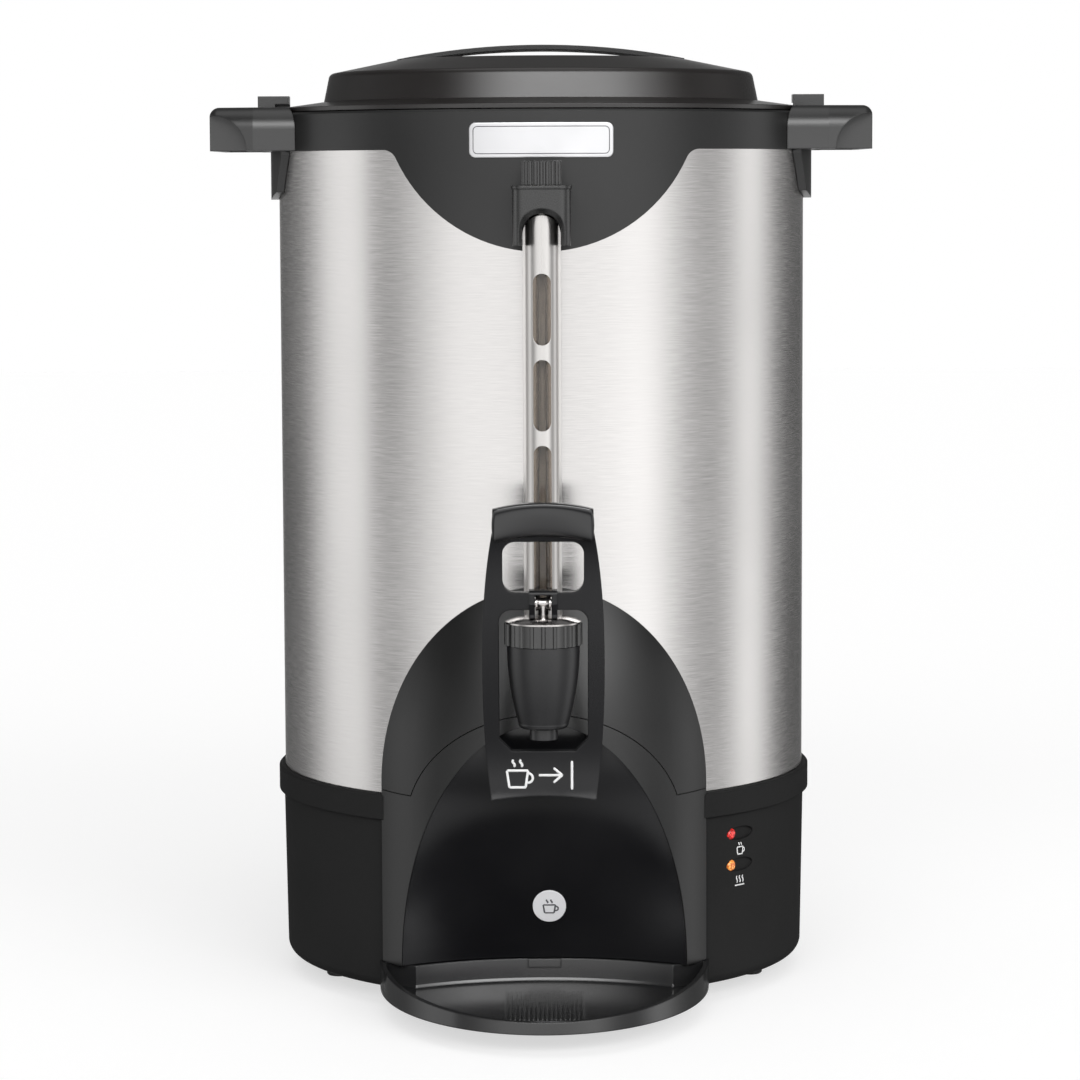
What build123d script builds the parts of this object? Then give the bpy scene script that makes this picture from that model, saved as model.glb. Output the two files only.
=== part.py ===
from build123d import *
import os
from math import cos, radians, sin, sqrt

# A percolator coffee urn with a double wall, a cup-press faucet, a sight gauge and a drip tray.
# Millimetres, +Z up, front towards -Y. The origin lies on the floor, under the urn's axis.

os.makedirs("parts", exist_ok=True)

# ---------------------------------------------------------------- clearances
fit = 0.1  # between fixed pieces that mate
running = 0.06  # radial play of a pin or a stem in its bore
play = 0.3  # between pieces of different moving bodies
seam = 0.3  # visible joint line between two mouldings

# ---------------------------------------------------------------- walls of the urn
shell_radius = 136.0
shell_wall = 0.8
shell_height = 319.1  # bare steel between base ring and collar
shell_seat = 11.5  # depth that the shell stands in the base ring

# ---------------------------------------------------------------- feet and base
foot_height = 9.2
foot_radius = 6.5
foot_stem_radius = 3.0
foot_inset = 23.3  # foot's middle inside the base's edge
foot_bearing = 17.0  # degrees between the X axis and each foot
base_height = 99.3
base_wall = 3.0
base_floor = 5.0
base_edge_radius = 6.0
base_draft = 1.3  # the wall leans in by this much at its foot
ring_height = 12.6
ring_wall = 3.1
ring_overhang = 2.6
ring_undercut = 0.8  # height of the slope under the overhang
ring_chamfer = 1.0
plate_margin = 41.3  # base floor outside the plate
plate_thickness = 1.6
plate_ledge = 12.0  # width of the housing floor that the plate screws to
plate_screw_count = 6
plate_screw_radius = 1.8
plate_screw_length = 11.0
screw_head_radius = 3.6
screw_head_height = 1.4

base_top = foot_height + base_height
ring_radius = shell_radius + fit + ring_wall
base_radius = ring_radius - ring_overhang
base_foot_radius = base_radius - base_draft
plate_radius = base_foot_radius - plate_margin
foot_circle = base_foot_radius - foot_inset
shell_bottom = base_top - shell_seat
collar_bottom = base_top + shell_height

# ---------------------------------------------------------------- collar with its apron
collar_height = 19.4
collar_wall = 1.4
collar_groove = 8.4  # depth that the shell reaches up into the collar
collar_skirt = 2.9  # thickness of the wall behind the shell
collar_ledge_drop = 3.6  # the tank's rim lies this far under the collar's top
collar_ledge_thickness = 3.0
collar_rim_width = 9.3
apron_radius = 78.4
apron_drop = 49.6  # from the collar's lower edge to the apron's lowest point
apron_corner = 7.0

collar_top = collar_bottom + collar_height
collar_radius = shell_radius + fit + collar_wall
ledge_height = collar_top - collar_ledge_drop
apron_centre_z = collar_bottom - apron_drop + apron_radius

# ---------------------------------------------------------------- tank
shell_gap = 18.0  # air between the tank and the shell
tank_wall = 0.8
tank_well_radius = 33.0
tank_well_depth = 11.0
tank_floor_fall = 3.0
tank_corner = 10.0
shank_above_floor = 26.0

tank_radius = shell_radius - shell_gap

# ---------------------------------------------------------------- front boss, arch and splash panel
boss_reach = 24.0  # in front of the shell
boss_radius = 92.6
boss_half_width = 80.9
boss_crown_radius = 242.8  # the cover's face leans back on this radius
boss_wall = 2.6
arch_shoulder = 114.0
arch_over_shank = 43.0  # the cover's crown over the shank's axis
seam_shoulder = 110.8
seam_half_width = 68.0
seam_rise = 60.0
seam_drop = 17.5  # the seam's peak under the shank
recess_half_width = 70.7
recess_border = 4.5  # frame over the recess, at its peak
recess_leg = 1.0  # straight stretch between the tray's rim and the arch
reveal_wall = 2.2
panel_wall = 2.2
panel_depth_low = 30.2  # how far the panel's foot lies behind the shell's front
panel_bow_low = 20.0
panel_middle_height = 60.0
panel_middle_depth = 13.7
panel_middle_bow = 6.5
panel_top_bow = 0.6
panel_top_lip = 12.5  # the panel's top in front of the shell
panel_clear_run = 60.0  # room cut free in front of the panel

boss_front = -(shell_radius + boss_reach)
boss_axis_y = boss_front + boss_radius

# ---------------------------------------------------------------- drip tray
tray_half_width = 82.4
tray_reach = 83.5  # in front of the shell
tray_length = 113.0
tray_underside = 11.0
tray_rear_height = 13.0
tray_front_height = 6.0
tray_floor = 1.6
tray_rim = 2.6
tray_rib_count = 18
tray_rib_pitch = 2.18
tray_rib_width = 1.0
tray_rib_height = 0.8
tray_rib_length = 61.0
tray_rib_margin = 24.0  # between the ribs and the tray's front
tray_tab_width = 16.4
tray_tab_height = 4.4
tray_tab_depth = 1.4
tray_recess_half_width = 72.0

tray_top = tray_underside + tray_rear_height
tray_front = -(shell_radius + tray_reach)
tray_centre_y = tray_front + tray_length
recess_centre_z = tray_top + recess_leg

# ---------------------------------------------------------------- faucet
faucet_reach = 48.0  # faucet axis in front of the shell
spout_radius = 6.7
spout_bore = 4.6
spout_length = 5.4
body_height = 45.3  # from the spout's end to the nut
body_top_radius = 17.4
body_foot_radius = 11.2
body_middle_radius = 15.1
body_middle_height = 15.2
body_neck_radius = 15.3
body_neck_height = 7.7
body_bore = 13.2
seat_bore = 10.8
seat_height = 16.0  # valve seat above the spout's end
shank_height = 172.0
shank_above_spout = 25.0  # spout's end under the shank
shank_radius = 9.2
shank_bore = 5.0
nut_height = 10.4
nut_radius = 18.6
nut_rib_depth = 1.0
nut_rib_count = 20
nut_lip = 1.7
bonnet_flange = 1.0
bonnet_hub_radius = 8.2
bonnet_plug = 2.5
cap_dome_radius = 18.2
cap_dome_height = 3.0
stem_radius = 2.4
stem_lift = 2.1
cup_radius = 9.2
cup_height = 11.0
spring_radius = 5.6
spring_wire = 0.8
spring_turns = 5
pin_radius = 1.9
pin_above_cap = 6.3

faucet_y = -(shell_radius + faucet_reach)
spout_height = shank_height - shank_above_spout
arch_rise = shank_height + arch_over_shank - arch_shoulder
seam_peak = shank_height - seam_drop
seam_centre_z = seam_peak - seam_rise
recess_peak = seam_peak - recess_border
recess_rise = recess_peak - recess_centre_z
body_top = spout_height + body_height
neck_top = body_top + body_neck_height
seat_z = spout_height + seat_height
flange_top = neck_top + bonnet_flange
nut_bottom = body_top + 2 * fit
nut_top = nut_bottom + nut_height
cap_base = nut_top + fit
cap_top = cap_base + cap_dome_height
pin_z = cap_top + pin_above_cap

# ---------------------------------------------------------------- sight gauge
gauge_reach = 15.5  # gauge axis in front of the shell
tube_radius = 6.0
tube_wall = 1.5
shield_inner = 7.0
shield_wall = 0.9
shield_width = 18.5
shield_slot_width = 8.7
shield_slot_length = 34.3
shield_slot_pitch = 41.3
shield_slot_count = 4
shield_top_slot = 368.0
socket_radius = 10.2
socket_bore = 8.0
socket_rise = 25.0  # socket's rim over the shank's axis
socket_depth = 16.0
seal_height = 6.0
cover_boss_wall = 2.5
bracket_width = 28.0
bracket_height = 28.7
bracket_reach = 28.0
bracket_drop = 17.5  # bracket's top under the collar's lower edge
bracket_corner = 6.0
bracket_cavity_height = 15.5
bracket_wall = 3.0
bracket_top_lip = 1.6
mouth_flare = 2.4
knob_radius = 9.8
knob_height = 11.6
knob_rib_count = 20
knob_rib_depth = 0.9

gauge_y = -(shell_radius + gauge_reach)
socket_top = shank_height + socket_rise
socket_floor = socket_top - socket_depth
bracket_top = collar_bottom - bracket_drop
bracket_bottom = bracket_top - bracket_height
cavity_top = bracket_bottom + bracket_cavity_height

# ---------------------------------------------------------------- cup lever
lever_drop = 31.0  # lever's foot under the spout's end
lever_length = 146.0
lever_thickness = 6.0
hub_slot = 7.9
hub_width = 13.5
hub_bridge = 2.2
hub_above_pin = 6.4
hub_toe = 11.0
hub_heel = 5.0
upper_window_width = 38.7
upper_window_height = 24.5
upper_window_drop = 19.6  # window's top under the lever's top
crossbar_height = 8.5
lower_window_width = 42.4
lower_window_rise = 24.0  # window's foot over the lever's foot
lower_window_chamfer = 6.0
window_corner = 6.0

lever_bottom = spout_height - lever_drop
lever_top = lever_bottom + lever_length
upper_window_top = lever_top - upper_window_drop
lower_window_bottom = lever_bottom + lower_window_rise

# ---------------------------------------------------------------- lid
lid_flange_lift = 0.5
lid_flange_thickness = 2.2
lid_wall = 2.5
lid_dome_inset = 5.5  # dome's foot inside the tank's wall
lid_dome_foot = 6.0  # dome's foot above the collar's top
lid_dome_lean = 3.0  # the dome's side leans in by this much
lid_shoulder = 20.3
lid_shoulder_fillet = 3.0
lid_crown_radius = 74.0
lid_crown = 27.6
lid_crown_rim = 4.0
lid_rim_fall = 0.6
lid_dish_depth = 9.0
lid_skirt_depth = 8.0
lid_skirt_wall = 2.2
lid_notch_angle = 7.0
grip_crest = 34.8
grip_thickness = 2.4
grip_width = 36.0
seal_width = 7.5
seal_thickness = 3.0

lid_dome_radius = tank_radius - lid_dome_inset
lid_shoulder_radius = lid_dome_radius - lid_dome_lean

# ---------------------------------------------------------------- side handles and their hooks
handle_reach = 32.2  # beyond the shell
handle_height = 22.0
handle_half_length = 60.0
handle_end_half_length = 54.0
handle_taper_length = 23.0
handle_crest_radius = 11.0
handle_edge_radius = 5.0
handle_wall = 3.0
handle_panel_depth = 9.0
handle_panel_radius = 18.0
tongue_thickness = 2.6
tongue_drop = 24.7
tongue_top_angle = 20.0
tongue_foot_angle = 15.0
hook_half_length = 6.0
hook_post = 9.0
hook_height = 6.5
hook_arm = 4.2
hook_reach = 6.0
hook_stop = 1.6
handle_screw_radius = 2.0
handle_screw_bite = 3.4  # depth that the screws reach into the handles
handle_screw_spread = 30.0

# ---------------------------------------------------------------- percolator and heater
pump_tube_radius = 6.0
pump_tube_wall = 0.8
pump_bell_radius = 30.0
pump_bell_height = 6.0
pump_tube_top = 434.0
basket_radius = 82.0
basket_bottom = 345.0
basket_height = 66.0
basket_wall = 0.8
basket_hole_radius = 1.6
basket_hole_rings = ((25.0, 10), (45.0, 16), (65.0, 22))
cover_height = 6.0
heater_width = 9.0
heater_height = 9.0
thermostat_radius = 11.0
thermostat_height = 9.0
fuse_radius = 3.0
fuse_length = 22.0
stud_radius = 3.0
stud_nut_width = 12.0
stud_nut_height = 4.2

# ---------------------------------------------------------------- lamps and cord bushing
lamp_bearing = 46.5  # degrees from the front, towards +X
lamp_heights = {"brew_lamp": 85.0, "warm_lamp": 69.0}
lamp_oval_length = 20.0
lamp_oval_height = 6.8
lamp_oval_depth = 2.0
lamp_radius = 2.9
lamp_length = 14.0
lamp_offset = 6.0
bushing_height = 32.0
bushing_radius = 9.0
bushing_bore = 4.5
bushing_lip = 2.0

shank_floor = shank_height - shank_above_floor
tank_well_floor = shank_floor - tank_floor_fall - tank_well_depth


def arch_outline(half_width, rise, centre_z, bottom_z):
    """Sketch of a round-topped arch with straight legs."""
    with BuildSketch() as outline:
        with Locations((0, centre_z)):
            Ellipse(half_width, rise)
        with Locations((0, centre_z - rise)):
            Rectangle(2 * half_width, 2 * rise, mode=Mode.SUBTRACT)
        with Locations((0, (centre_z + bottom_z) / 2)):
            Rectangle(2 * half_width, centre_z - bottom_z)
    return outline.sketch


def arch_prism(half_width, rise, centre_z, bottom_z):
    """The arch, run forward from the urn's axis."""
    with BuildPart() as prism:
        with BuildSketch(Plane.XZ):
            add(arch_outline(half_width, rise, centre_z, bottom_z))
        extrude(amount=2 * shell_radius)
    return prism.part


def under_seam(raised, bottom_z):
    """Everything in front of the urn that lies under the joint of the two front mouldings."""
    height = seam_shoulder + raised - bottom_z
    with BuildPart() as region:
        with BuildSketch(Plane.XZ):
            add(arch_outline(seam_half_width + raised, seam_rise + raised, seam_centre_z, bottom_z))
            with Locations((0, bottom_z + height / 2)):
                Rectangle(3 * boss_half_width, height)
        extrude(amount=2 * shell_radius)
    return region.part


def boss_form(inset):
    """Column with a domed top that bulges from the urn's front, drawn in by inset."""
    radius = boss_radius - inset
    crown_radius = boss_crown_radius - inset
    rise = arch_rise + boss_wall
    top_radius = radius - crown_radius + sqrt(crown_radius**2 - rise**2)
    with BuildPart() as form:
        with BuildSketch(Plane(origin=(0, boss_axis_y, 0), x_dir=(1, 0, 0), z_dir=(0, -1, 0))):
            with BuildLine():
                top = (top_radius, arch_shoulder + rise)
                Polyline(top, (0, arch_shoulder + rise), (0, 0), (radius, 0), (radius, arch_shoulder))
                RadiusArc((radius, arch_shoulder), top, -crown_radius)
            make_face()
        revolve(axis=Axis((0, boss_axis_y, 0), (0, 0, 1)))
        add(
            arch_prism(boss_half_width - inset, arch_rise - inset, arch_shoulder, 0),
            mode=Mode.INTERSECT,
        )
    return form.part


def scoop_form(depth):
    """Space in front of the splash panel, whose back is moved rearwards by depth."""
    lip = shell_radius + panel_top_lip
    stations = (
        (tray_underside - 3.0, shell_radius - panel_depth_low - 7.0, panel_bow_low + 4.0),
        (tray_top, shell_radius - panel_depth_low, panel_bow_low),
        (panel_middle_height, shell_radius - panel_middle_depth, panel_middle_bow),
        (shell_bottom, shell_radius + panel_wall + play, panel_top_bow),
        (recess_peak + 3.0, lip, panel_top_bow),
    )
    half = tray_recess_half_width
    with BuildPart() as form:
        for height, middle, bow in stations:
            with BuildSketch(Plane.XY.offset(height)):
                with BuildLine():
                    edge = depth - middle - bow
                    front = -lip - panel_clear_run
                    ThreePointArc((-half, edge), (0, depth - middle), (half, edge))
                    Polyline((half, edge), (half, front), (-half, front), (-half, edge))
                make_face()
        loft()
    return form.part


def bay_form(depth):
    """Room that the splash panel and the tray need in the base."""
    with BuildPart() as form:
        add(scoop_form(depth))
        with BuildSketch(Plane.XY.offset(tray_underside - play)):
            with Locations((0, -shell_radius)):
                Rectangle(2 * tray_recess_half_width + 2 * play, 2 * shell_radius)
        extrude(amount=base_height, mode=Mode.INTERSECT)
    return form.part


def lamp_plane(height):
    """Plane that touches the base wall at the lamps, facing out."""
    bearing = radians(lamp_bearing)
    outward = Vector(sin(bearing), -cos(bearing), 0)
    sideways = Vector(cos(bearing), sin(bearing), 0)
    return Plane(origin=outward * base_radius + Vector(0, 0, height), x_dir=sideways, z_dir=outward)


# ---------------------------------------------------------------- base
rear_plane = Plane(origin=(0, base_foot_radius, bushing_height), x_dir=(-1, 0, 0), z_dir=(0, 1, 0))
foot_bearings = (foot_bearing, 180 - foot_bearing, 180 + foot_bearing, -foot_bearing)
front_bay = bay_form(panel_wall + play)

with BuildPart() as base_envelope:
    with BuildSketch(Plane.XZ):
        with BuildLine():
            Polyline(
                (0, foot_height),
                (base_foot_radius - base_edge_radius, foot_height),
            )
            RadiusArc(
                (base_foot_radius - base_edge_radius, foot_height),
                (base_foot_radius, foot_height + base_edge_radius),
                -base_edge_radius,
            )
            Polyline(
                (base_foot_radius, foot_height + base_edge_radius),
                (base_radius, base_top - ring_height - ring_undercut),
                (ring_radius, base_top - ring_height),
                (ring_radius, base_top - ring_chamfer),
                (ring_radius - ring_chamfer, base_top),
                (0, base_top),
                (0, foot_height),
            )
        make_face()
    revolve(axis=Axis.Z)

housing_floor_top = foot_height + base_floor
housing_bore = base_foot_radius - base_wall
ledge_radius = plate_radius - plate_ledge
screw_circle = (plate_radius + ledge_radius) / 2

with BuildPart() as base_housing:
    add(base_envelope.part)
    # the steel shell stands on a ledge inside the ring
    with BuildSketch(Plane.XY.offset(shell_bottom)):
        Circle(shell_radius + fit)
    extrude(amount=shell_seat, mode=Mode.SUBTRACT)
    with BuildSketch(Plane.XY.offset(housing_floor_top)):
        Circle(housing_bore)
    extrude(until=Until.LAST, mode=Mode.SUBTRACT)
    # opening in the floor, with a rebate for the bottom plate
    with BuildSketch(Plane.XY.offset(foot_height)):
        Circle(ledge_radius)
    extrude(amount=base_floor, mode=Mode.SUBTRACT)
    with BuildSketch(Plane.XY.offset(foot_height)):
        Circle(plate_radius + 2 * fit)
    extrude(amount=plate_thickness + fit, mode=Mode.SUBTRACT)
    # bosses for the plate's screws
    with BuildSketch(Plane.XY.offset(housing_floor_top)):
        with PolarLocations(screw_circle, plate_screw_count):
            Circle(2.6 * plate_screw_radius)
    extrude(amount=plate_screw_length - base_floor)
    with Locations(Plane.XY.offset(foot_height)):
        with PolarLocations(screw_circle, plate_screw_count):
            Cylinder(
                plate_screw_radius,
                plate_screw_length,
                align=(Align.CENTER, Align.CENTER, Align.MIN),
                mode=Mode.SUBTRACT,
            )
        for foot_side in foot_bearings:
            with PolarLocations(foot_circle, 1, foot_side):
                Cylinder(
                    foot_stem_radius + fit,
                    base_floor,
                    align=(Align.CENTER, Align.CENTER, Align.MIN),
                    mode=Mode.SUBTRACT,
                )
    # the splash panel and the tray reach into the front
    add(front_bay, mode=Mode.SUBTRACT)
    # lamps look out through slanting ovals
    for lamp_height in lamp_heights.values():
        with BuildSketch(lamp_plane(lamp_height)):
            with Locations((-lamp_offset, 0)):
                Circle(lamp_radius + fit)
        extrude(amount=-2 * base_wall, mode=Mode.SUBTRACT)
        with BuildSketch(lamp_plane(lamp_height)):
            Ellipse(lamp_oval_length / 2, lamp_oval_height / 2)
        extrude(amount=-lamp_oval_depth, mode=Mode.SUBTRACT)
    # the cord leaves through a bushing at the back
    with BuildSketch(rear_plane):
        Circle(bushing_radius - bushing_lip)
    extrude(amount=-2 * base_wall, mode=Mode.SUBTRACT)
    with BuildSketch(rear_plane):
        Circle(bushing_radius + fit)
    extrude(amount=base_wall, mode=Mode.SUBTRACT)
base_housing.part.label = "base_housing"
export_step(base_housing.part, "parts/base_housing.step")

with BuildPart() as base_plate:
    with BuildSketch(Plane.XY.offset(foot_height + fit)):
        Circle(plate_radius)
        with PolarLocations(screw_circle, plate_screw_count):
            Circle(plate_screw_radius + fit, mode=Mode.SUBTRACT)
        Circle(stud_radius + fit, mode=Mode.SUBTRACT)
    extrude(amount=plate_thickness)
base_plate.part.label = "base_plate"
export_step(base_plate.part, "parts/base_plate.step")

with BuildPart() as plate_screws:
    with BuildSketch(Plane.XY.offset(foot_height + fit)):
        with PolarLocations(screw_circle, plate_screw_count):
            Circle(screw_head_radius)
    extrude(amount=-screw_head_height)
    with BuildSketch(Plane.XY.offset(foot_height + fit)):
        with PolarLocations(screw_circle, plate_screw_count):
            Circle(plate_screw_radius)
    extrude(amount=plate_screw_length - 1)
plate_screws.part.label = "plate_screws"
export_step(plate_screws.part, "parts/plate_screws.step")

with BuildPart() as feet:
    for foot_side in foot_bearings:
        with BuildSketch():
            with PolarLocations(foot_circle, 1, foot_side):
                Circle(foot_radius)
        extrude(amount=foot_height)
        with BuildSketch(Plane.XY.offset(foot_height)):
            with PolarLocations(foot_circle, 1, foot_side):
                Circle(foot_stem_radius)
        extrude(amount=base_floor + 1.0)
    chamfer(feet.edges().group_by(Axis.Z)[0], 0.8)
feet.part.label = "feet"
export_step(feet.part, "parts/feet.step")

for lamp_name, lamp_height in lamp_heights.items():
    with BuildPart() as lamp:
        with BuildSketch(lamp_plane(lamp_height)):
            with Locations((-lamp_offset, 0)):
                Circle(lamp_radius)
        extrude(amount=-lamp_length)
        fillet(lamp.edges().filter_by(GeomType.CIRCLE).sort_by(Axis.Y)[0], 0.6 * lamp_radius)
    lamp.part.label = lamp_name
    export_step(lamp.part, f"parts/{lamp_name}.step")

with BuildPart() as cord_bushing:
    with BuildSketch(rear_plane):
        Circle(bushing_radius)
    extrude(amount=bushing_lip)
    with BuildSketch(rear_plane):
        Circle(bushing_radius - bushing_lip - fit)
    extrude(amount=-2 * base_wall)
    with BuildSketch(rear_plane.offset(bushing_lip)):
        Circle(bushing_bore)
    extrude(amount=-3 * base_wall, mode=Mode.SUBTRACT)
cord_bushing.part.label = "cord_bushing"
export_step(cord_bushing.part, "parts/cord_bushing.step")

# ---------------------------------------------------------------- shell, tank and collar
shell_top = collar_bottom + collar_groove
upper_screw_z = collar_bottom + collar_groove / 2
lower_screw_z = collar_bottom - tongue_drop / 2
with BuildPart() as outer_shell:
    with BuildSketch(Plane.XY.offset(shell_bottom)):
        Circle(shell_radius)
        Circle(shell_radius - shell_wall, mode=Mode.SUBTRACT)
    extrude(amount=shell_top - shell_bottom)
    with BuildSketch(Plane.XZ):
        with Locations((0, shank_height)):
            Circle(shank_radius + play)
    extrude(amount=2 * shell_radius, mode=Mode.SUBTRACT)
    with BuildSketch(Plane.YZ):
        with Locations(
            (0, lower_screw_z),
            (-handle_screw_spread, upper_screw_z),
            (handle_screw_spread, upper_screw_z),
        ):
            Circle(handle_screw_radius + fit)
    extrude(amount=2 * shell_radius, both=True, mode=Mode.SUBTRACT)
outer_shell.part.label = "outer_shell"
export_step(outer_shell.part, "parts/outer_shell.step")

with BuildPart() as inner_tank:
    with BuildSketch(Plane.XZ):
        with BuildLine(mode=Mode.PRIVATE) as tank_line:
            well_corner = (tank_well_radius, shank_floor - tank_floor_fall)
            Polyline(
                (0, tank_well_floor),
                (tank_well_radius, tank_well_floor),
                well_corner,
                (tank_radius - tank_corner, shank_floor),
            )
            RadiusArc(
                (tank_radius - tank_corner, shank_floor),
                (tank_radius, shank_floor + tank_corner),
                -tank_corner,
            )
            Polyline(
                (tank_radius, shank_floor + tank_corner),
                (tank_radius, ledge_height),
                (tank_radius + collar_rim_width, ledge_height),
                (tank_radius + collar_rim_width, ledge_height + tank_wall),
                (tank_radius - tank_wall, ledge_height + tank_wall),
                (tank_radius - tank_wall, shank_floor + tank_corner),
            )
            RadiusArc(
                (tank_radius - tank_wall, shank_floor + tank_corner),
                (tank_radius - tank_corner, shank_floor + tank_wall),
                tank_corner - tank_wall,
            )
            Polyline(
                (tank_radius - tank_corner, shank_floor + tank_wall),
                (tank_well_radius - tank_wall, shank_floor - tank_floor_fall + tank_wall),
                (tank_well_radius - tank_wall, tank_well_floor + tank_wall),
                (0, tank_well_floor + tank_wall),
                (0, tank_well_floor),
            )
        add(tank_line.line)
        make_face()
    revolve(axis=Axis.Z)
    with BuildSketch(Plane.XZ):
        with Locations((0, shank_height)):
            Circle(shank_radius + fit)
    extrude(amount=2 * shell_radius, mode=Mode.SUBTRACT)
inner_tank.part.label = "inner_tank"
export_step(inner_tank.part, "parts/inner_tank.step")

collar_bore = tank_radius + collar_rim_width + play
groove_inner = shell_radius - shell_wall - fit
with BuildPart() as top_collar:
    with BuildSketch(Plane.XZ):
        with BuildLine():
            Polyline(
                (collar_radius, collar_bottom),
                (collar_radius, collar_top - ring_chamfer),
                (collar_radius - ring_chamfer, collar_top),
                (collar_bore, collar_top),
                (collar_bore, ledge_height),
                (tank_radius + fit, ledge_height),
                (tank_radius + fit, ledge_height - collar_ledge_thickness),
                (groove_inner - collar_skirt, ledge_height - collar_ledge_thickness),
                (groove_inner - collar_skirt, collar_bottom),
                (groove_inner, collar_bottom),
                (groove_inner, shell_top),
                (shell_radius + fit, shell_top),
                (shell_radius + fit, collar_bottom),
                (collar_radius, collar_bottom),
            )
        make_face()
    revolve(axis=Axis.Z)
    # the apron hangs over the shell in front
    with BuildSketch(Plane.XZ) as apron_outline:
        with Locations((0, apron_centre_z)):
            Circle(apron_radius)
        with Locations((0, collar_bottom + collar_groove / 2)):
            Rectangle(2 * shell_radius, collar_groove)
        with Locations((0, shell_top + apron_radius)):
            Rectangle(2 * shell_radius, 2 * apron_radius, mode=Mode.SUBTRACT)
        corners = apron_outline.vertices().filter_by_position(
            Axis.Y, collar_bottom - fit, collar_bottom + fit
        )
        fillet(corners.sort_by(Axis.X)[1:3], apron_corner)
    apron_prism = extrude(amount=2 * shell_radius, mode=Mode.PRIVATE)
    with BuildSketch(Plane.XY.offset(collar_bottom - apron_drop)) as apron_ring:
        Circle(collar_radius)
        Circle(shell_radius + fit, mode=Mode.SUBTRACT)
    apron_shell = extrude(amount=apron_drop + collar_groove, mode=Mode.PRIVATE)
    add(apron_shell & apron_prism)
    # screw holes for the side handles
    with BuildSketch(Plane.YZ):
        with Locations(
            (-handle_screw_spread, upper_screw_z), (handle_screw_spread, upper_screw_z)
        ):
            Circle(handle_screw_radius + fit)
    extrude(amount=2 * shell_radius, both=True, mode=Mode.SUBTRACT)
top_collar.part.label = "top_collar"
export_step(top_collar.part, "parts/top_collar.step")

# ---------------------------------------------------------------- front cover, arch frame and splash panel
with BuildPart() as urn_core:
    add(base_envelope.part)
    with BuildSketch(Plane.XY.offset(foot_height)):
        Circle(base_radius)
    extrude(amount=base_top - ring_height - foot_height)
    with BuildSketch(Plane.XY.offset(foot_height)):
        Circle(shell_radius + fit)
    extrude(amount=collar_top)

cover_boss_inner = socket_radius + play
cover_boss_radius = cover_boss_inner + cover_boss_wall
cover_boss_top = socket_top + 2.0
cover_boss_bottom = shank_height - shank_radius - cover_boss_wall
with BuildPart() as cover_tower:
    with BuildSketch(Plane.XY.offset(cover_boss_bottom)):
        with Locations((0, gauge_y)):
            Circle(cover_boss_radius)
    extrude(amount=cover_boss_top - cover_boss_bottom)
    fillet(cover_tower.edges().group_by(Axis.Z)[-1], 1.0)

with BuildPart() as front_cover:
    add(boss_form(0))
    add(under_seam(seam, -1), mode=Mode.SUBTRACT)
    add(urn_core.part, mode=Mode.SUBTRACT)
    add(boss_form(boss_wall), mode=Mode.SUBTRACT)
    # a round tower on the cover hides the foot of the gauge
    add(cover_tower.part)
    with BuildSketch(Plane.XY.offset(cover_boss_bottom + cover_boss_wall)):
        with Locations((0, gauge_y)):
            Circle(cover_boss_inner)
        with Locations((0, gauge_y + cover_boss_inner)):
            Rectangle(2 * cover_boss_inner, 2 * cover_boss_inner)
    extrude(amount=socket_top + fit - cover_boss_bottom - cover_boss_wall, mode=Mode.SUBTRACT)
    with BuildSketch(Plane.XY.offset(socket_top)):
        with Locations((0, gauge_y)):
            Circle(shield_width / 2 + play)
    extrude(amount=collar_top - socket_top, mode=Mode.SUBTRACT)
    with BuildSketch(Plane.XZ):
        with Locations((0, shank_height)):
            Circle(shank_radius + play)
    extrude(amount=2 * shell_radius, mode=Mode.SUBTRACT)
front_cover.part.label = "front_cover"
export_step(front_cover.part, "parts/front_cover.step")

with BuildPart() as frame_hollow:
    add(boss_form(boss_wall))
    add(
        arch_prism(
            recess_half_width + reveal_wall, recess_rise + reveal_wall, recess_centre_z, 0
        ),
        mode=Mode.SUBTRACT,
    )

frame_foot = tray_top + play
with BuildPart() as arch_frame:
    add(boss_form(0))
    add(under_seam(0, frame_foot), mode=Mode.INTERSECT)
    add(urn_core.part, mode=Mode.SUBTRACT)
    add(
        arch_prism(recess_half_width, recess_rise, recess_centre_z, 0),
        mode=Mode.SUBTRACT,
    )
    add(frame_hollow.part, mode=Mode.SUBTRACT)
arch_frame.part.label = "arch_frame"
export_step(arch_frame.part, "parts/arch_frame.step")

with BuildPart() as splash_panel:
    add(scoop_form(panel_wall))
    add(scoop_form(0), mode=Mode.SUBTRACT)
    add(
        arch_prism(
            recess_half_width - fit, recess_rise - fit, recess_centre_z, frame_foot
        ),
        mode=Mode.INTERSECT,
    )
splash_panel.part.label = "splash_panel"
export_step(splash_panel.part, "parts/splash_panel.step")

# ---------------------------------------------------------------- drip tray
tray_back = -(shell_radius - panel_depth_low) + 1.2


def tray_plan(inset):
    """Half-ellipse that reaches back into the base's bay, drawn in by inset."""
    half = tray_recess_half_width - play - inset
    back = tray_back - inset
    side = back - panel_bow_low
    overlap = -(base_radius + play + inset) - 1.0
    with BuildSketch() as plan:
        with Locations((0, tray_centre_y)):
            Ellipse(tray_half_width - inset, tray_length - inset)
        with Locations((0, tray_centre_y - inset + tray_length)):
            Rectangle(3 * tray_half_width, 2 * tray_length, mode=Mode.SUBTRACT)
        Circle(base_radius + play + inset, mode=Mode.SUBTRACT)
        with BuildLine():
            ThreePointArc((-half, side), (0, back), (half, side))
            Polyline(
                (half, side),
                (half, overlap),
                (-half, overlap),
                (-half, side),
            )
        make_face()
    return plan.sketch


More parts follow.
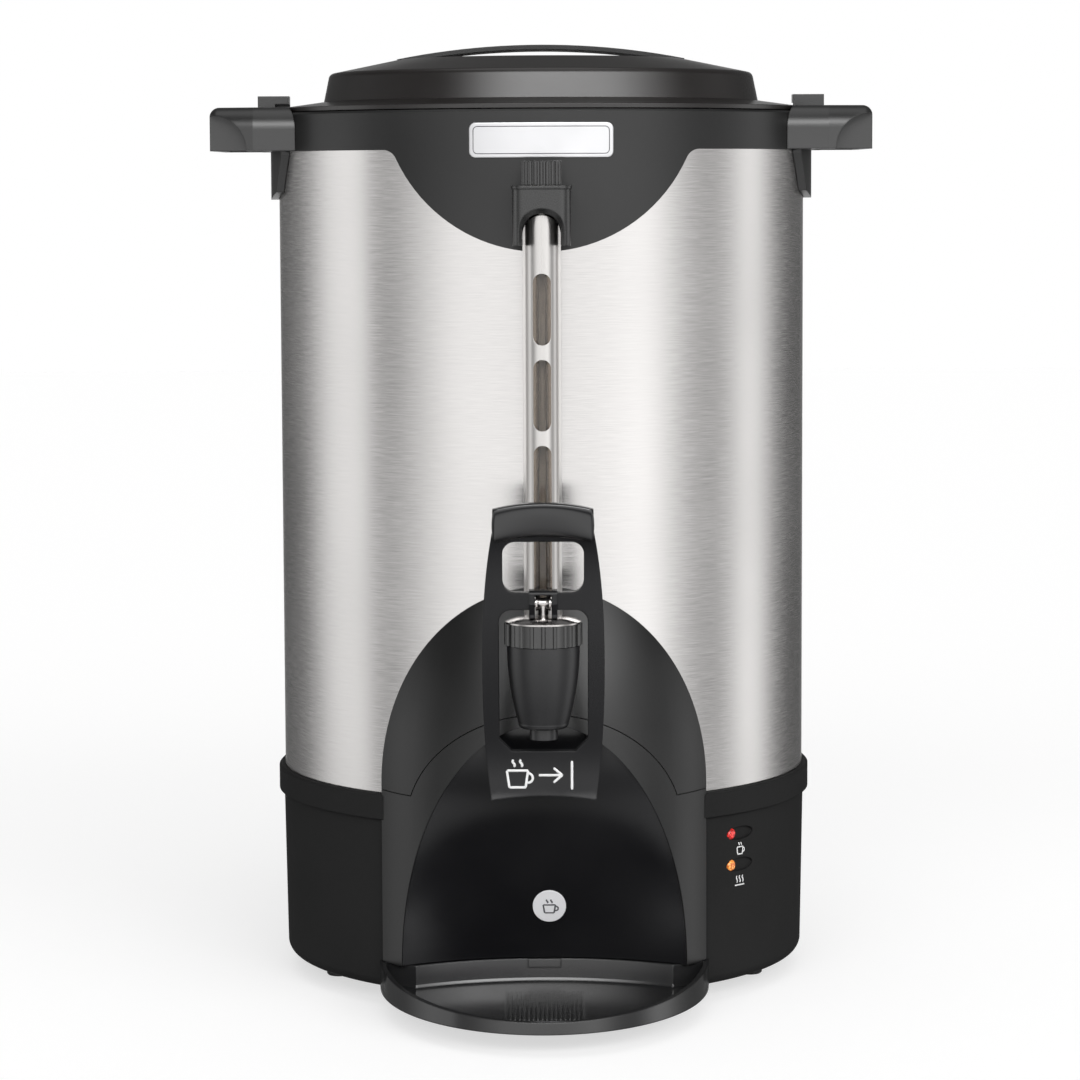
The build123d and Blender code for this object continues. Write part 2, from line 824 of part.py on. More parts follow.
with BuildPart() as drip_tray:
    with BuildSketch(Plane.XY.offset(tray_underside)):
        add(tray_plan(0))
    extrude(amount=tray_rear_height)
    # the rim falls towards the front
    with BuildSketch(Plane.YZ):
        with BuildLine():
            Polyline(
                (tray_front - 1, tray_underside + tray_front_height),
                (-shell_radius, tray_top),
                (-shell_radius, tray_top + 1),
                (tray_front - 1, tray_top + 1),
                (tray_front - 1, tray_underside + tray_front_height),
            )
        make_face()
    extrude(amount=2 * tray_half_width, both=True, mode=Mode.SUBTRACT)
    with BuildSketch(Plane.XY.offset(tray_underside + tray_floor)):
        add(tray_plan(tray_rim))
    extrude(amount=tray_rear_height, mode=Mode.SUBTRACT)
    # ribs that keep a cup out of the spill
    rib_y = tray_front + tray_rib_margin + tray_rib_length / 2
    with BuildSketch(Plane.XY.offset(tray_underside + tray_floor)):
        with Locations((0, rib_y)):
            with GridLocations(tray_rib_pitch, 1, tray_rib_count, 1):
                Rectangle(tray_rib_width, tray_rib_length)
    extrude(amount=tray_rib_height)
    # lug on the rear wall, which the tray is drawn out by
    with BuildSketch(Plane.XY.offset(tray_top - tray_tab_height)):
        with Locations((0, tray_back - tray_rim - tray_tab_depth / 2 + fit)):
            Rectangle(tray_tab_width, tray_tab_depth + 2 * fit)
    extrude(amount=tray_tab_height)
drip_tray.part.label = "drip_tray"
export_step(drip_tray.part, "parts/drip_tray.step")

# ---------------------------------------------------------------- faucet
tank_front = -tank_radius
shank_front = faucet_y + body_top_radius + 2.0
shank_flange_y = tank_front - 4.0
gasket_radius = shank_radius + 4.8
shank_rear = tank_front + 11.0


def forward_plane(y, height):
    """Plane that faces the front, at a given depth and height."""
    return Plane(origin=(0, y, height), x_dir=(1, 0, 0), z_dir=(0, -1, 0))


with BuildPart() as faucet_shank:
    with BuildSketch(forward_plane(shank_rear, shank_height)):
        Circle(shank_radius)
    extrude(amount=shank_rear - shank_front)
    with BuildSketch(forward_plane(shank_flange_y, shank_height)):
        Circle(gasket_radius)
    extrude(amount=2.0)
    # upright socket that the gauge glass stands in
    with BuildSketch(Plane.XY.offset(shank_height)):
        with Locations((0, gauge_y)):
            Circle(socket_radius)
    extrude(amount=socket_top - shank_height)
    with BuildSketch(Plane.XY.offset(socket_floor)):
        with Locations((0, gauge_y)):
            Circle(socket_bore)
    extrude(amount=socket_top - socket_floor, mode=Mode.SUBTRACT)
    with BuildSketch(Plane.XY.offset(shank_height)):
        with Locations((0, gauge_y)):
            Circle(tube_radius - tube_wall)
    extrude(amount=socket_top - shank_height, mode=Mode.SUBTRACT)
    with BuildSketch(forward_plane(shank_rear, shank_height)):
        Circle(shank_bore)
    extrude(amount=shank_rear - shank_front, mode=Mode.SUBTRACT)
faucet_shank.part.label = "faucet_shank"
export_step(faucet_shank.part, "parts/faucet_shank.step")

with BuildPart() as shank_gaskets:
    with BuildSketch(forward_plane(shank_flange_y, shank_height)):
        Circle(gasket_radius)
        Circle(shank_radius, mode=Mode.SUBTRACT)
    extrude(amount=shank_flange_y - tank_front - 6.0)
    with BuildSketch(Plane.XY.offset(shank_height - gasket_radius)):
        Circle(tank_radius)
        Circle(tank_radius - tank_wall, mode=Mode.SUBTRACT)
    extrude(amount=2 * gasket_radius, mode=Mode.SUBTRACT)
shank_gaskets.part.label = "shank_gaskets"
export_step(shank_gaskets.part, "parts/shank_gaskets.step")

with BuildPart() as shank_nut:
    with BuildSketch(forward_plane(tank_front + 6.0, shank_height)):
        RegularPolygon(gasket_radius, 6, major_radius=False)
        Circle(shank_radius, mode=Mode.SUBTRACT)
    extrude(amount=-4.0)
shank_nut.part.label = "shank_nut"
export_step(shank_nut.part, "parts/shank_nut.step")

spout_top = spout_height + spout_length
with BuildPart() as faucet_body:
    with BuildSketch(forward_plane(faucet_y, 0)):
        with BuildLine():
            Polyline(
                (body_neck_radius, neck_top),
                (0, neck_top),
                (0, spout_height),
                (spout_radius, spout_height),
                (spout_radius, spout_top),
                (body_foot_radius - 1.5, spout_top),
            )
            ThreePointArc(
                (body_foot_radius - 1.5, spout_top),
                (body_foot_radius + 0.3, spout_top + 0.8),
                (body_foot_radius + 0.9, spout_top + 2.6),
            )
            ThreePointArc(
                (body_foot_radius + 0.9, spout_top + 2.6),
                (body_middle_radius, spout_top + body_middle_height),
                (body_top_radius, body_top),
            )
            Polyline(
                (body_top_radius, body_top),
                (body_neck_radius, body_top),
                (body_neck_radius, neck_top),
            )
        make_face()
    revolve(axis=Axis((0, faucet_y, 0), (0, 0, 1)))
    with BuildSketch(forward_plane(faucet_y, shank_height)):
        Circle(shank_radius - 0.6)
    extrude(amount=faucet_y - shank_front + fit)
    with BuildSketch(forward_plane(faucet_y, 0)):
        with BuildLine():
            Polyline(
                (0, neck_top),
                (0, spout_height),
                (spout_bore, spout_height),
                (spout_bore, seat_z),
                (seat_bore, seat_z),
                (seat_bore, shank_height),
                (body_bore, body_top - nut_height / 2),
                (body_bore, neck_top),
                (0, neck_top),
            )
        make_face()
    revolve(axis=Axis((0, faucet_y, 0), (0, 0, 1)), mode=Mode.SUBTRACT)
    with BuildSketch(forward_plane(faucet_y, shank_height)):
        Circle(shank_bore)
    extrude(amount=faucet_y - shank_front - play, mode=Mode.SUBTRACT)
faucet_body.part.label = "faucet_body"
export_step(faucet_body.part, "parts/faucet_body.step")

with BuildPart() as bonnet:
    with BuildSketch(forward_plane(faucet_y, 0)):
        with BuildLine():
            Polyline(
                (stem_radius + running, neck_top - bonnet_plug),
                (body_bore - fit, neck_top - bonnet_plug),
                (body_bore - fit, neck_top),
                (body_neck_radius, neck_top),
                (body_neck_radius, flange_top),
                (bonnet_hub_radius, flange_top),
                (bonnet_hub_radius, cap_base + 1.4),
                (stem_radius + running, cap_base + 1.4),
                (stem_radius + running, neck_top - bonnet_plug),
            )
        make_face()
    revolve(axis=Axis((0, faucet_y, 0), (0, 0, 1)))
bonnet.part.label = "bonnet"
export_step(bonnet.part, "parts/bonnet.step")

with BuildPart() as bonnet_cap:
    with BuildSketch(forward_plane(faucet_y, 0)):
        with BuildLine():
            cap_eye = stem_radius + play
            Polyline(
                (cap_eye, cap_base + 1.4),
                (bonnet_hub_radius, cap_base + 1.4),
                (bonnet_hub_radius, cap_base),
                (cap_dome_radius, cap_base),
                (cap_dome_radius, cap_base + 0.8),
            )
            ThreePointArc(
                (cap_dome_radius, cap_base + 0.8),
                (0.72 * cap_dome_radius, cap_top - 0.5),
                (0.4 * cap_dome_radius, cap_top),
            )
            Polyline(
                (0.4 * cap_dome_radius, cap_top),
                (cap_eye, cap_top),
                (cap_eye, cap_base + 1.4),
            )
        make_face()
    revolve(axis=Axis((0, faucet_y, 0), (0, 0, 1)))
bonnet_cap.part.label = "bonnet_cap"
export_step(bonnet_cap.part, "parts/bonnet_cap.step")

with BuildPart() as bonnet_nut:
    with BuildSketch(Plane.XY.offset(nut_bottom)):
        with Locations((0, faucet_y)):
            Circle(nut_radius - nut_rib_depth)
            with PolarLocations(nut_radius - nut_rib_depth, nut_rib_count):
                Circle(nut_rib_depth)
    extrude(amount=nut_height)
    with BuildSketch(Plane.XY.offset(nut_bottom)):
        with Locations((0, faucet_y)):
            Circle(body_neck_radius + running)
    extrude(amount=nut_height - nut_lip, mode=Mode.SUBTRACT)
    with BuildSketch(Plane.XY.offset(nut_bottom)):
        with Locations((0, faucet_y)):
            Circle(bonnet_hub_radius + running)
    extrude(amount=nut_height, mode=Mode.SUBTRACT)
bonnet_nut.part.label = "bonnet_nut"
export_step(bonnet_nut.part, "parts/bonnet_nut.step")

cup_bottom = seat_z + 2 * fit
cup_top = cup_bottom + cup_height
with BuildPart() as seat_cup:
    with BuildSketch(forward_plane(faucet_y, 0)):
        with BuildLine():
            Polyline(
                (0, cup_bottom),
                (cup_radius - 1.5, cup_bottom),
                (cup_radius, cup_bottom + 1.5),
                (cup_radius, cup_bottom + 3.5),
                (0.72 * cup_radius, cup_bottom + 6.0),
                (0.72 * cup_radius, cup_top),
                (stem_radius, cup_top),
                (stem_radius, cup_bottom + 4.0),
                (0, cup_bottom + 4.0),
                (0, cup_bottom),
            )
        make_face()
    revolve(axis=Axis((0, faucet_y, 0), (0, 0, 1)))
seat_cup.part.label = "seat_cup"
export_step(seat_cup.part, "parts/seat_cup.step")

eye_width = hub_slot - 2 * play
eye_radius = pin_radius + 1.3
with BuildPart() as valve_stem:
    with BuildSketch(Plane.XY.offset(cup_bottom + 4.0)):
        with Locations((0, faucet_y)):
            Circle(stem_radius)
    extrude(amount=pin_z - cup_bottom - 4.0)
    # spool-shaped eye that the lever's pin runs in
    with BuildSketch(Plane.XY.offset(pin_z)):
        with BuildLine():
            half_eye = eye_width / 2
            Polyline(
                (-half_eye, faucet_y),
                (-half_eye, faucet_y + eye_radius + 0.5),
                (-half_eye + 0.8, faucet_y + eye_radius + 0.5),
            )
            ThreePointArc(
                (-half_eye + 0.8, faucet_y + eye_radius + 0.5),
                (0, faucet_y + eye_radius - 0.5),
                (half_eye - 0.8, faucet_y + eye_radius + 0.5),
            )
            Polyline(
                (half_eye - 0.8, faucet_y + eye_radius + 0.5),
                (half_eye, faucet_y + eye_radius + 0.5),
                (half_eye, faucet_y),
                (-half_eye, faucet_y),
            )
        make_face()
    revolve(axis=Axis((0, faucet_y, pin_z), (1, 0, 0)))
    with BuildSketch(Plane.YZ):
        with Locations((faucet_y, pin_z)):
            Circle(pin_radius + running)
    extrude(amount=eye_width, both=True, mode=Mode.SUBTRACT)
valve_stem.part.label = "valve_stem"
export_step(valve_stem.part, "parts/valve_stem.step")

spring_bottom = cup_top
spring_height = neck_top - bonnet_plug - spring_bottom
with BuildPart() as stem_spring:
    with BuildLine():
        Helix(
            pitch=(spring_height - 2 * spring_wire) / spring_turns,
            height=spring_height - 2 * spring_wire,
            radius=spring_radius,
            center=(0, faucet_y, spring_bottom + spring_wire),
        )
    with BuildSketch(
        Plane(
            origin=(spring_radius, faucet_y, spring_bottom + spring_wire),
            x_dir=(1, 0, 0),
            z_dir=(0, 1, 0),
        )
    ):
        Circle(spring_wire / 2)
    sweep(is_frenet=True)
stem_spring.part.label = "stem_spring"
export_step(stem_spring.part, "parts/stem_spring.step")

# ---------------------------------------------------------------- sight gauge
tube_top = bracket_top + 0.7 * knob_height
with BuildPart() as gauge_tube:
    with BuildSketch(Plane.XY.offset(socket_floor)):
        with Locations((0, gauge_y)):
            Circle(tube_radius)
            Circle(tube_radius - tube_wall, mode=Mode.SUBTRACT)
    extrude(amount=tube_top - socket_floor)
gauge_tube.part.label = "gauge_tube"
export_step(gauge_tube.part, "parts/gauge_tube.step")

with BuildPart() as gauge_seal:
    with BuildSketch(Plane.XY.offset(socket_top - seal_height - 2.0)):
        with Locations((0, gauge_y)):
            Circle(socket_bore)
            Circle(tube_radius, mode=Mode.SUBTRACT)
    extrude(amount=seal_height)
gauge_seal.part.label = "gauge_seal"
export_step(gauge_seal.part, "parts/gauge_seal.step")

shield_bottom = socket_top
shield_top = cavity_top - 1.0
with BuildPart() as gauge_shield:
    with BuildSketch(Plane.XY.offset(shield_bottom)):
        with Locations((0, gauge_y)):
            Circle(shield_inner + shield_wall)
        with Locations((0, gauge_y + shield_wall / 2)):
            Rectangle(shield_width, shield_wall)
        with Locations((0, gauge_y)):
            Circle(shield_inner, mode=Mode.SUBTRACT)
        with Locations((0, gauge_y + shield_wall + shield_inner)):
            Rectangle(2 * shield_width, 2 * shield_inner, mode=Mode.SUBTRACT)
    extrude(amount=shield_top - shield_bottom)
    # its head is rounded to the bracket's mouth
    head_radius = shield_width / 2
    with BuildSketch(forward_plane(gauge_y + shield_wall, 0)):
        with Locations((0, shield_top - head_radius)):
            Circle(head_radius)
        with Locations((0, (shield_bottom + shield_top - head_radius) / 2)):
            Rectangle(shield_width, shield_top - head_radius - shield_bottom)
    extrude(amount=shield_width, mode=Mode.INTERSECT)
    with BuildSketch(forward_plane(gauge_y, 0)):
        for slot_index in range(shield_slot_count):
            slot_top = shield_top_slot - slot_index * shield_slot_pitch
            with Locations((0, slot_top - shield_slot_length / 2)):
                SlotOverall(shield_slot_length, shield_slot_width, rotation=90)
    extrude(amount=2 * shield_inner, mode=Mode.SUBTRACT)
gauge_shield.part.label = "gauge_shield"
export_step(gauge_shield.part, "parts/gauge_shield.step")

bracket_front = -(shell_radius + bracket_reach)
with BuildPart() as gauge_bracket:
    with BuildSketch(Plane.XY.offset(bracket_bottom)):
        with Locations((0, (bracket_front - shell_radius) / 2)):
            Rectangle(bracket_width, -bracket_front - shell_radius + bracket_wall)
    extrude(amount=bracket_height)
    fillet(
        gauge_bracket.edges().filter_by(Axis.Z).group_by(Axis.Y)[0],
        bracket_corner,
    )
    with BuildSketch(Plane.XY.offset(bracket_top - bracket_top_lip)):
        with Locations((0, (bracket_front - shell_radius) / 2)):
            RectangleRounded(
                bracket_width + 1.0,
                -bracket_front - shell_radius + bracket_wall + 1.0,
                bracket_corner,
            )
    extrude(amount=bracket_top_lip)
    # arched mouth that takes in the head of the shield
    mouth = shield_width / 2 + play
    with BuildSketch(forward_plane(-shell_radius - bracket_wall, 0)):
        with Locations((0, cavity_top - mouth)):
            Circle(mouth)
        with Locations((0, (bracket_bottom + cavity_top - mouth) / 2)):
            Rectangle(2 * mouth, cavity_top - mouth - bracket_bottom)
    extrude(amount=bracket_reach, mode=Mode.SUBTRACT)
    # it widens like a funnel towards the front
    mouth_y = bracket_front - bracket_wall / 2
    with BuildSketch(Plane(origin=(0, mouth_y, 0), x_dir=(-1, 0, 0), z_dir=(0, 1, 0))):
        with Locations((0, cavity_top - mouth)):
            Circle(mouth + mouth_flare)
        with Locations((0, bracket_bottom)):
            Rectangle(2 * (mouth + mouth_flare), 2 * (cavity_top - mouth - bracket_bottom))
    extrude(amount=mouth_flare, taper=45, mode=Mode.SUBTRACT)
    with BuildSketch(Plane.XY.offset(bracket_bottom)):
        with Locations((0, gauge_y)):
            Circle(tube_radius + fit)
    extrude(amount=bracket_height, mode=Mode.SUBTRACT)
    with BuildSketch(Plane.XY.offset(bracket_bottom)):
        Circle(collar_radius)
    extrude(amount=bracket_height, mode=Mode.SUBTRACT)
gauge_bracket.part.label = "gauge_bracket"
export_step(gauge_bracket.part, "parts/gauge_bracket.step")

with BuildPart() as gauge_knob:
    with BuildSketch(Plane.XY.offset(bracket_top + 2 * fit)):
        with Locations((0, gauge_y)):
            Circle(knob_radius - knob_rib_depth)
            with PolarLocations(knob_radius - knob_rib_depth, knob_rib_count):
                Circle(knob_rib_depth)
    extrude(amount=knob_height)
    chamfer(gauge_knob.edges().group_by(Axis.Z)[-1], 0.4)
    with BuildSketch(Plane.XY.offset(bracket_top)):
        with Locations((0, gauge_y)):
            Circle(tube_radius + running)
    extrude(amount=tube_top - bracket_top + play, mode=Mode.SUBTRACT)
gauge_knob.part.label = "gauge_knob"
export_step(gauge_knob.part, "parts/gauge_knob.step")

# ---------------------------------------------------------------- cup lever
# the lever's outline, from its foot to its thumb lip: heights over its foot, and half widths
lever_outline = ((0.0, 25.2), (19.0, 27.4), (44.0, 28.9), (69.0, 29.2), (99.0, 28.2), (124.0, 25.4))
lever_shoulder = 131.0
lip_half_width = 24.2
lip_corner_drop = 3.4
foot_arch = 2.0
# side view: heights over the foot, and distances behind the faucet's axis
lever_side = ((-6.0, 8.0), (12.0, 11.6), (34.0, 8.6), (69.0, 2.4), (96.0, -1.0), (120.0, -4.2), (133.0, -8.5))
lip_curl = ((140.0, -13.0), (148.0, -21.0))


def lever_band(front, back):
    """Curved slab that the lever is cut from, seen from its side."""
    stations = lever_side + lip_curl
    front_points = [(faucet_y + y - front, lever_bottom + z) for z, y in stations]
    back_points = [(faucet_y + y + back, lever_bottom + z) for z, y in stations]
    with BuildPart() as band:
        with BuildSketch(Plane.YZ):
            with BuildLine():
                Spline(front_points)
                Spline(back_points)
                Line(front_points[0], back_points[0])
                Line(front_points[-1], back_points[-1])
            make_face()
        extrude(amount=2 * nut_radius, both=True)
    return band.part


crossbar_top = upper_window_top - upper_window_height
crossbar_bottom = crossbar_top - crossbar_height
hub_front = faucet_y - hub_heel
with BuildPart() as cup_lever:
    with BuildSketch(forward_plane(0, 0)):
        with BuildLine():
            right_side = [(half, lever_bottom + height) for height, half in lever_outline]
            left_side = [(-half, lever_bottom + height) for height, half in lever_outline]
            Spline(right_side)
            Spline(left_side)
            Polyline(
                right_side[-1],
                (lip_half_width, lever_bottom + lever_shoulder),
                (lip_half_width - 0.4, lever_top - lip_corner_drop),
            )
            Polyline(
                left_side[-1],
                (-lip_half_width, lever_bottom + lever_shoulder),
                (-lip_half_width + 0.4, lever_top - lip_corner_drop),
            )
            ThreePointArc(
                (-lip_half_width + 0.4, lever_top - lip_corner_drop),
                (0, lever_top),
                (lip_half_width - 0.4, lever_top - lip_corner_drop),
            )
            ThreePointArc(left_side[0], (0, lever_bottom + foot_arch), right_side[0])
        make_face()
        with Locations((0, upper_window_top - upper_window_height / 2)):
            RectangleRounded(
                upper_window_width, upper_window_height, window_corner, mode=Mode.SUBTRACT
            )
    extrude(amount=2 * shell_radius)
    lower_window_height = crossbar_bottom - lower_window_bottom
    with BuildSketch(forward_plane(0, 0)) as lower_window:
        with Locations((0, lower_window_bottom + lower_window_height / 2)):
            Rectangle(lower_window_width, lower_window_height)
        fillet(lower_window.vertices().group_by(Axis.Y)[-1], window_corner)
        chamfer(lower_window.vertices().group_by(Axis.Y)[0], lower_window_chamfer)
    extrude(amount=2 * shell_radius, mode=Mode.SUBTRACT)
    add(lever_band(lever_thickness / 2, lever_thickness / 2), mode=Mode.INTERSECT)
    # hub with a toe that rocks on the bonnet cap
    with BuildSketch(Plane.YZ) as hub_side:
        with BuildLine():
            hub_top = pin_z + hub_above_pin
            hub_sole = cap_top + 2 * fit
            Polyline(
                (hub_front, hub_top),
                (faucet_y + hub_heel, hub_top),
                (faucet_y + hub_heel, hub_sole),
                (faucet_y - hub_toe, hub_sole),
                (faucet_y - hub_toe, hub_sole + 1.5),
                (hub_front, hub_sole + 6.0),
                (hub_front, hub_top),
            )
        make_face()
        fillet(hub_side.vertices().group_by(Axis.Y)[-1], 1.8)
    extrude(amount=hub_width / 2, both=True)
    # slot for the stem's eye
    with BuildSketch(forward_plane(0, 0)):
        with Locations((0, hub_top - hub_bridge - crossbar_height)):
            Rectangle(hub_slot, 2 * crossbar_height)
    extrude(amount=2 * shell_radius, mode=Mode.SUBTRACT)
    with BuildSketch(Plane.YZ):
        with Locations((faucet_y, pin_z)):
            Circle(pin_radius)
    extrude(amount=hub_width, both=True, mode=Mode.SUBTRACT)
cup_lever.part.label = "cup_lever"
export_step(cup_lever.part, "parts/cup_lever.step")

with BuildPart() as lever_pin:
    with BuildSketch(Plane.YZ):
        with Locations((faucet_y, pin_z)):
            Circle(pin_radius)
    extrude(amount=hub_width / 2 + 0.4, both=True)
lever_pin.part.label = "lever_pin"
export_step(lever_pin.part, "parts/lever_pin.step")

# ---------------------------------------------------------------- lid
flange_bottom = collar_top + lid_flange_lift
flange_edge_top = flange_bottom + lid_flange_thickness
dome_foot = collar_top + lid_dome_foot
shoulder_z = collar_top + lid_shoulder
crown_z = collar_top + lid_crown
dish_floor = crown_z - lid_dish_depth
skirt_radius = tank_radius - tank_wall - play
skirt_bottom = flange_bottom - lid_skirt_depth
dish_rim = lid_crown_radius - lid_crown_rim
dish_sag = lid_dish_depth - lid_rim_fall
dish_sphere = (dish_rim**2 + dish_sag**2) / (2 * dish_sag)
with BuildPart() as lid_shell:
    with BuildSketch(Plane.XZ):
        with BuildLine():
            Polyline(
                (shell_radius, flange_bottom),
                (shell_radius, flange_edge_top),
                (lid_dome_radius, dome_foot),
                (lid_shoulder_radius, shoulder_z),
                (lid_crown_radius, crown_z),
                (dish_rim, crown_z - lid_rim_fall),
            )
            RadiusArc((dish_rim, crown_z - lid_rim_fall), (0, dish_floor), dish_sphere)
            Line((0, dish_floor), (0, dish_floor - lid_wall))
            RadiusArc(
                (0, dish_floor - lid_wall),
                (dish_rim, crown_z - lid_rim_fall - lid_wall),
                -dish_sphere,
            )
            Polyline(
                (dish_rim, crown_z - lid_rim_fall - lid_wall),
                (lid_crown_radius, crown_z - lid_wall),
                (lid_shoulder_radius - lid_wall, shoulder_z - lid_wall),
                (skirt_radius - lid_skirt_wall - 5.0, flange_bottom + lid_flange_thickness),
                (skirt_radius - lid_skirt_wall, flange_bottom),
                (skirt_radius - lid_skirt_wall, skirt_bottom),
                (skirt_radius, skirt_bottom),
                (skirt_radius, flange_bottom),
                (shell_radius, flange_bottom),
            )
        make_face()
    revolve(axis=Axis.Z)
    shoulder_edges = (
        lid_shell.edges()
        .filter_by(GeomType.CIRCLE)
        .filter_by(lambda edge: abs(edge.radius - lid_shoulder_radius) < fit)
    )
    fillet(shoulder_edges, lid_shoulder_fillet)
    # notches let the flange past the hooks
    notch_half = (shell_radius - hook_reach) * sin(radians(lid_notch_angle))
    with BuildSketch(Plane.XY.offset(flange_bottom - 1)):
        with PolarLocations(shell_radius, 2):
            Rectangle(2 * (hook_reach + play), 2 * notch_half)
    extrude(amount=hook_height, mode=Mode.SUBTRACT)
lid_shell.part.label = "lid_shell"
export_step(lid_shell.part, "parts/lid_shell.step")

with BuildPart() as lid_grip:
    grip_tip = (lid_crown_radius, crown_z)
    grip_top = (0, collar_top + grip_crest)
    with BuildSketch(Plane.XZ):
        with BuildLine():
            ThreePointArc((-lid_crown_radius, crown_z), grip_top, grip_tip)
            Line(grip_tip, (lid_crown_radius - 2.0, crown_z - 1.8))
            ThreePointArc(
                (lid_crown_radius - 2.0, crown_z - 1.8),
                (0, collar_top + grip_crest - grip_thickness),
                (-lid_crown_radius + 2.0, crown_z - 1.8),
            )
            Line((-lid_crown_radius + 2.0, crown_z - 1.8), (-lid_crown_radius, crown_z))
        make_face()
    extrude(amount=grip_width / 2, both=True)
    add(lid_shell.part, mode=Mode.SUBTRACT)
lid_grip.part.label = "lid_grip"
export_step(lid_grip.part, "parts/lid_grip.step")

with BuildPart() as lid_seal:
    with BuildSketch(Plane.XY.offset(ledge_height + tank_wall + fit)):
        Circle(tank_radius + seal_width)
        Circle(tank_radius + fit, mode=Mode.SUBTRACT)
    extrude(amount=seal_thickness)
lid_seal.part.label = "lid_seal"
export_step(lid_seal.part, "parts/lid_seal.step")

# ---------------------------------------------------------------- side handles
handle_outer = shell_radius + handle_reach
handle_bottom = collar_bottom + 2 * fit
handle_top = handle_bottom + handle_height
handle_inner = collar_radius + fit
shoulder_reach = handle_outer - handle_taper_length
panel_reach = handle_outer - handle_panel_radius - 1.5
upper_screw_x = sqrt(handle_inner**2 - handle_screw_spread**2)

handle_stations = (
    (shell_radius - 20, handle_half_length),
    (shoulder_reach, handle_half_length),
    (handle_outer, handle_end_half_length),
)
with BuildPart() as right_handle:
    for span in zip(handle_stations, handle_stations[1:]):
        for station_x, half_length in span:
            with BuildSketch(Plane.YZ.offset(station_x)) as section:
                with Locations((0, handle_bottom + handle_height / 2)):
                    Rectangle(2 * half_length, handle_height)
                fillet(section.vertices().group_by(Axis.Y)[-1], handle_crest_radius)
        loft()
    crest_edges = right_handle.faces().sort_by(Axis.X)[-1].edges()
    fillet(crest_edges.sort_by(Axis.Z)[-1], handle_edge_radius)
    # panels set back at both ends of the grip
    for end in (-1, 1):
        with BuildSketch(
            Plane(
                origin=(0, end * (handle_end_half_length - handle_panel_depth), 0),
                x_dir=(-end, 0, 0),
                z_dir=(0, end, 0),
            )
        ):
            with BuildLine():
                corner = -end * (panel_reach + handle_panel_radius)
                inner_x = -end * panel_reach
                Polyline(
                    (inner_x, handle_bottom),
                    (-end * (handle_outer + 1), handle_bottom),
                    (-end * (handle_outer + 1), handle_bottom + handle_panel_radius),
                    (corner, handle_bottom + handle_panel_radius),
                )
                ThreePointArc(
                    (corner, handle_bottom + handle_panel_radius),
                    (
                        corner + end * handle_panel_radius * cos(radians(45)),
                        handle_bottom + handle_panel_radius * sin(radians(45)),
                    ),
                    (inner_x, handle_bottom),
                )
            make_face()
        extrude(amount=3 * handle_panel_depth, mode=Mode.SUBTRACT)
    # finger space from below
    with BuildSketch(Plane.XY.offset(handle_bottom)):
        with BuildLine():
            finger_half = handle_end_half_length - handle_panel_depth - handle_wall
            Polyline(
                (handle_outer - handle_wall, -finger_half),
                (handle_outer - handle_wall, finger_half),
                (handle_inner + handle_wall, finger_half),
                (handle_inner + handle_wall, -finger_half),
                (handle_outer - handle_wall, -finger_half),
            )
        make_face()
    extrude(amount=handle_height - handle_wall, mode=Mode.SUBTRACT)
    # tongue that lies on the shell
    tongue_foot_z = collar_bottom - tongue_drop
    with BuildSketch(Plane.YZ.offset(shell_radius / 2)):
        with BuildLine():
            wide = handle_inner * sin(radians(tongue_top_angle))
            narrow = handle_inner * sin(radians(tongue_foot_angle))
            Polyline(
                (-narrow, tongue_foot_z + 4),
                (-wide, collar_bottom - 2),
                (-wide, handle_bottom),
                (wide, handle_bottom),
                (wide, collar_bottom - 2),
                (narrow, tongue_foot_z + 4),
            )
            ThreePointArc(
                (narrow, tongue_foot_z + 4), (0, tongue_foot_z), (-narrow, tongue_foot_z + 4)
            )
        make_face()
    tongue_block = extrude(amount=shell_radius, mode=Mode.PRIVATE)
    with BuildSketch(Plane.XY.offset(tongue_foot_z)):
        Circle(handle_inner + tongue_thickness)
        Circle(shell_radius + fit, mode=Mode.SUBTRACT)
    tongue_ring = extrude(amount=handle_bottom - tongue_foot_z, mode=Mode.PRIVATE)
    add(tongue_block & tongue_ring)
    # seat on the collar
    with BuildSketch(Plane.XY.offset(collar_bottom - fit)):
        Circle(handle_inner)
    extrude(amount=handle_height + 3 * fit, mode=Mode.SUBTRACT)
    # hook that the lid's flange turns under
    hook_top = handle_top + hook_height
    with BuildSketch(Plane.XY.offset(handle_top - 1)):
        with Locations((handle_inner + hook_post / 2, 0)):
            Rectangle(hook_post, 2 * hook_half_length)
    extrude(amount=hook_height + 1)
    with BuildSketch(Plane.XY.offset(hook_top - hook_arm)):
        with Locations((handle_inner - hook_reach / 2, 0)):
            Rectangle(hook_reach + 2, 2 * hook_half_length)
    extrude(amount=hook_arm)
    with BuildSketch(Plane.XY.offset(collar_top + 2 * fit)):
        with Locations((handle_inner - hook_reach / 2, -hook_half_length + hook_stop / 2)):
            Rectangle(hook_reach + 2, hook_stop)
    extrude(amount=hook_top - collar_top - 2 * fit)
    # blind holes for the screws
    with BuildSketch(Plane.YZ.offset(upper_screw_x - handle_screw_bite)):
        with Locations(
            (-handle_screw_spread, upper_screw_z), (handle_screw_spread, upper_screw_z)
        ):
            Circle(handle_screw_radius)
    extrude(amount=2 * handle_screw_bite, mode=Mode.SUBTRACT)
    with BuildSketch(Plane.YZ.offset(shell_radius - handle_screw_bite)):
        with Locations((0, lower_screw_z)):
            Circle(handle_screw_radius)
    extrude(amount=2 * handle_screw_bite + fit, mode=Mode.SUBTRACT)
right_handle.part.label = "right_handle"
export_step(right_handle.part, "parts/right_handle.step")

with BuildPart() as left_handle:
    add(right_handle.part.rotate(Axis.Z, 180))
left_handle.part.label = "left_handle"
export_step(left_handle.part, "parts/left_handle.step")

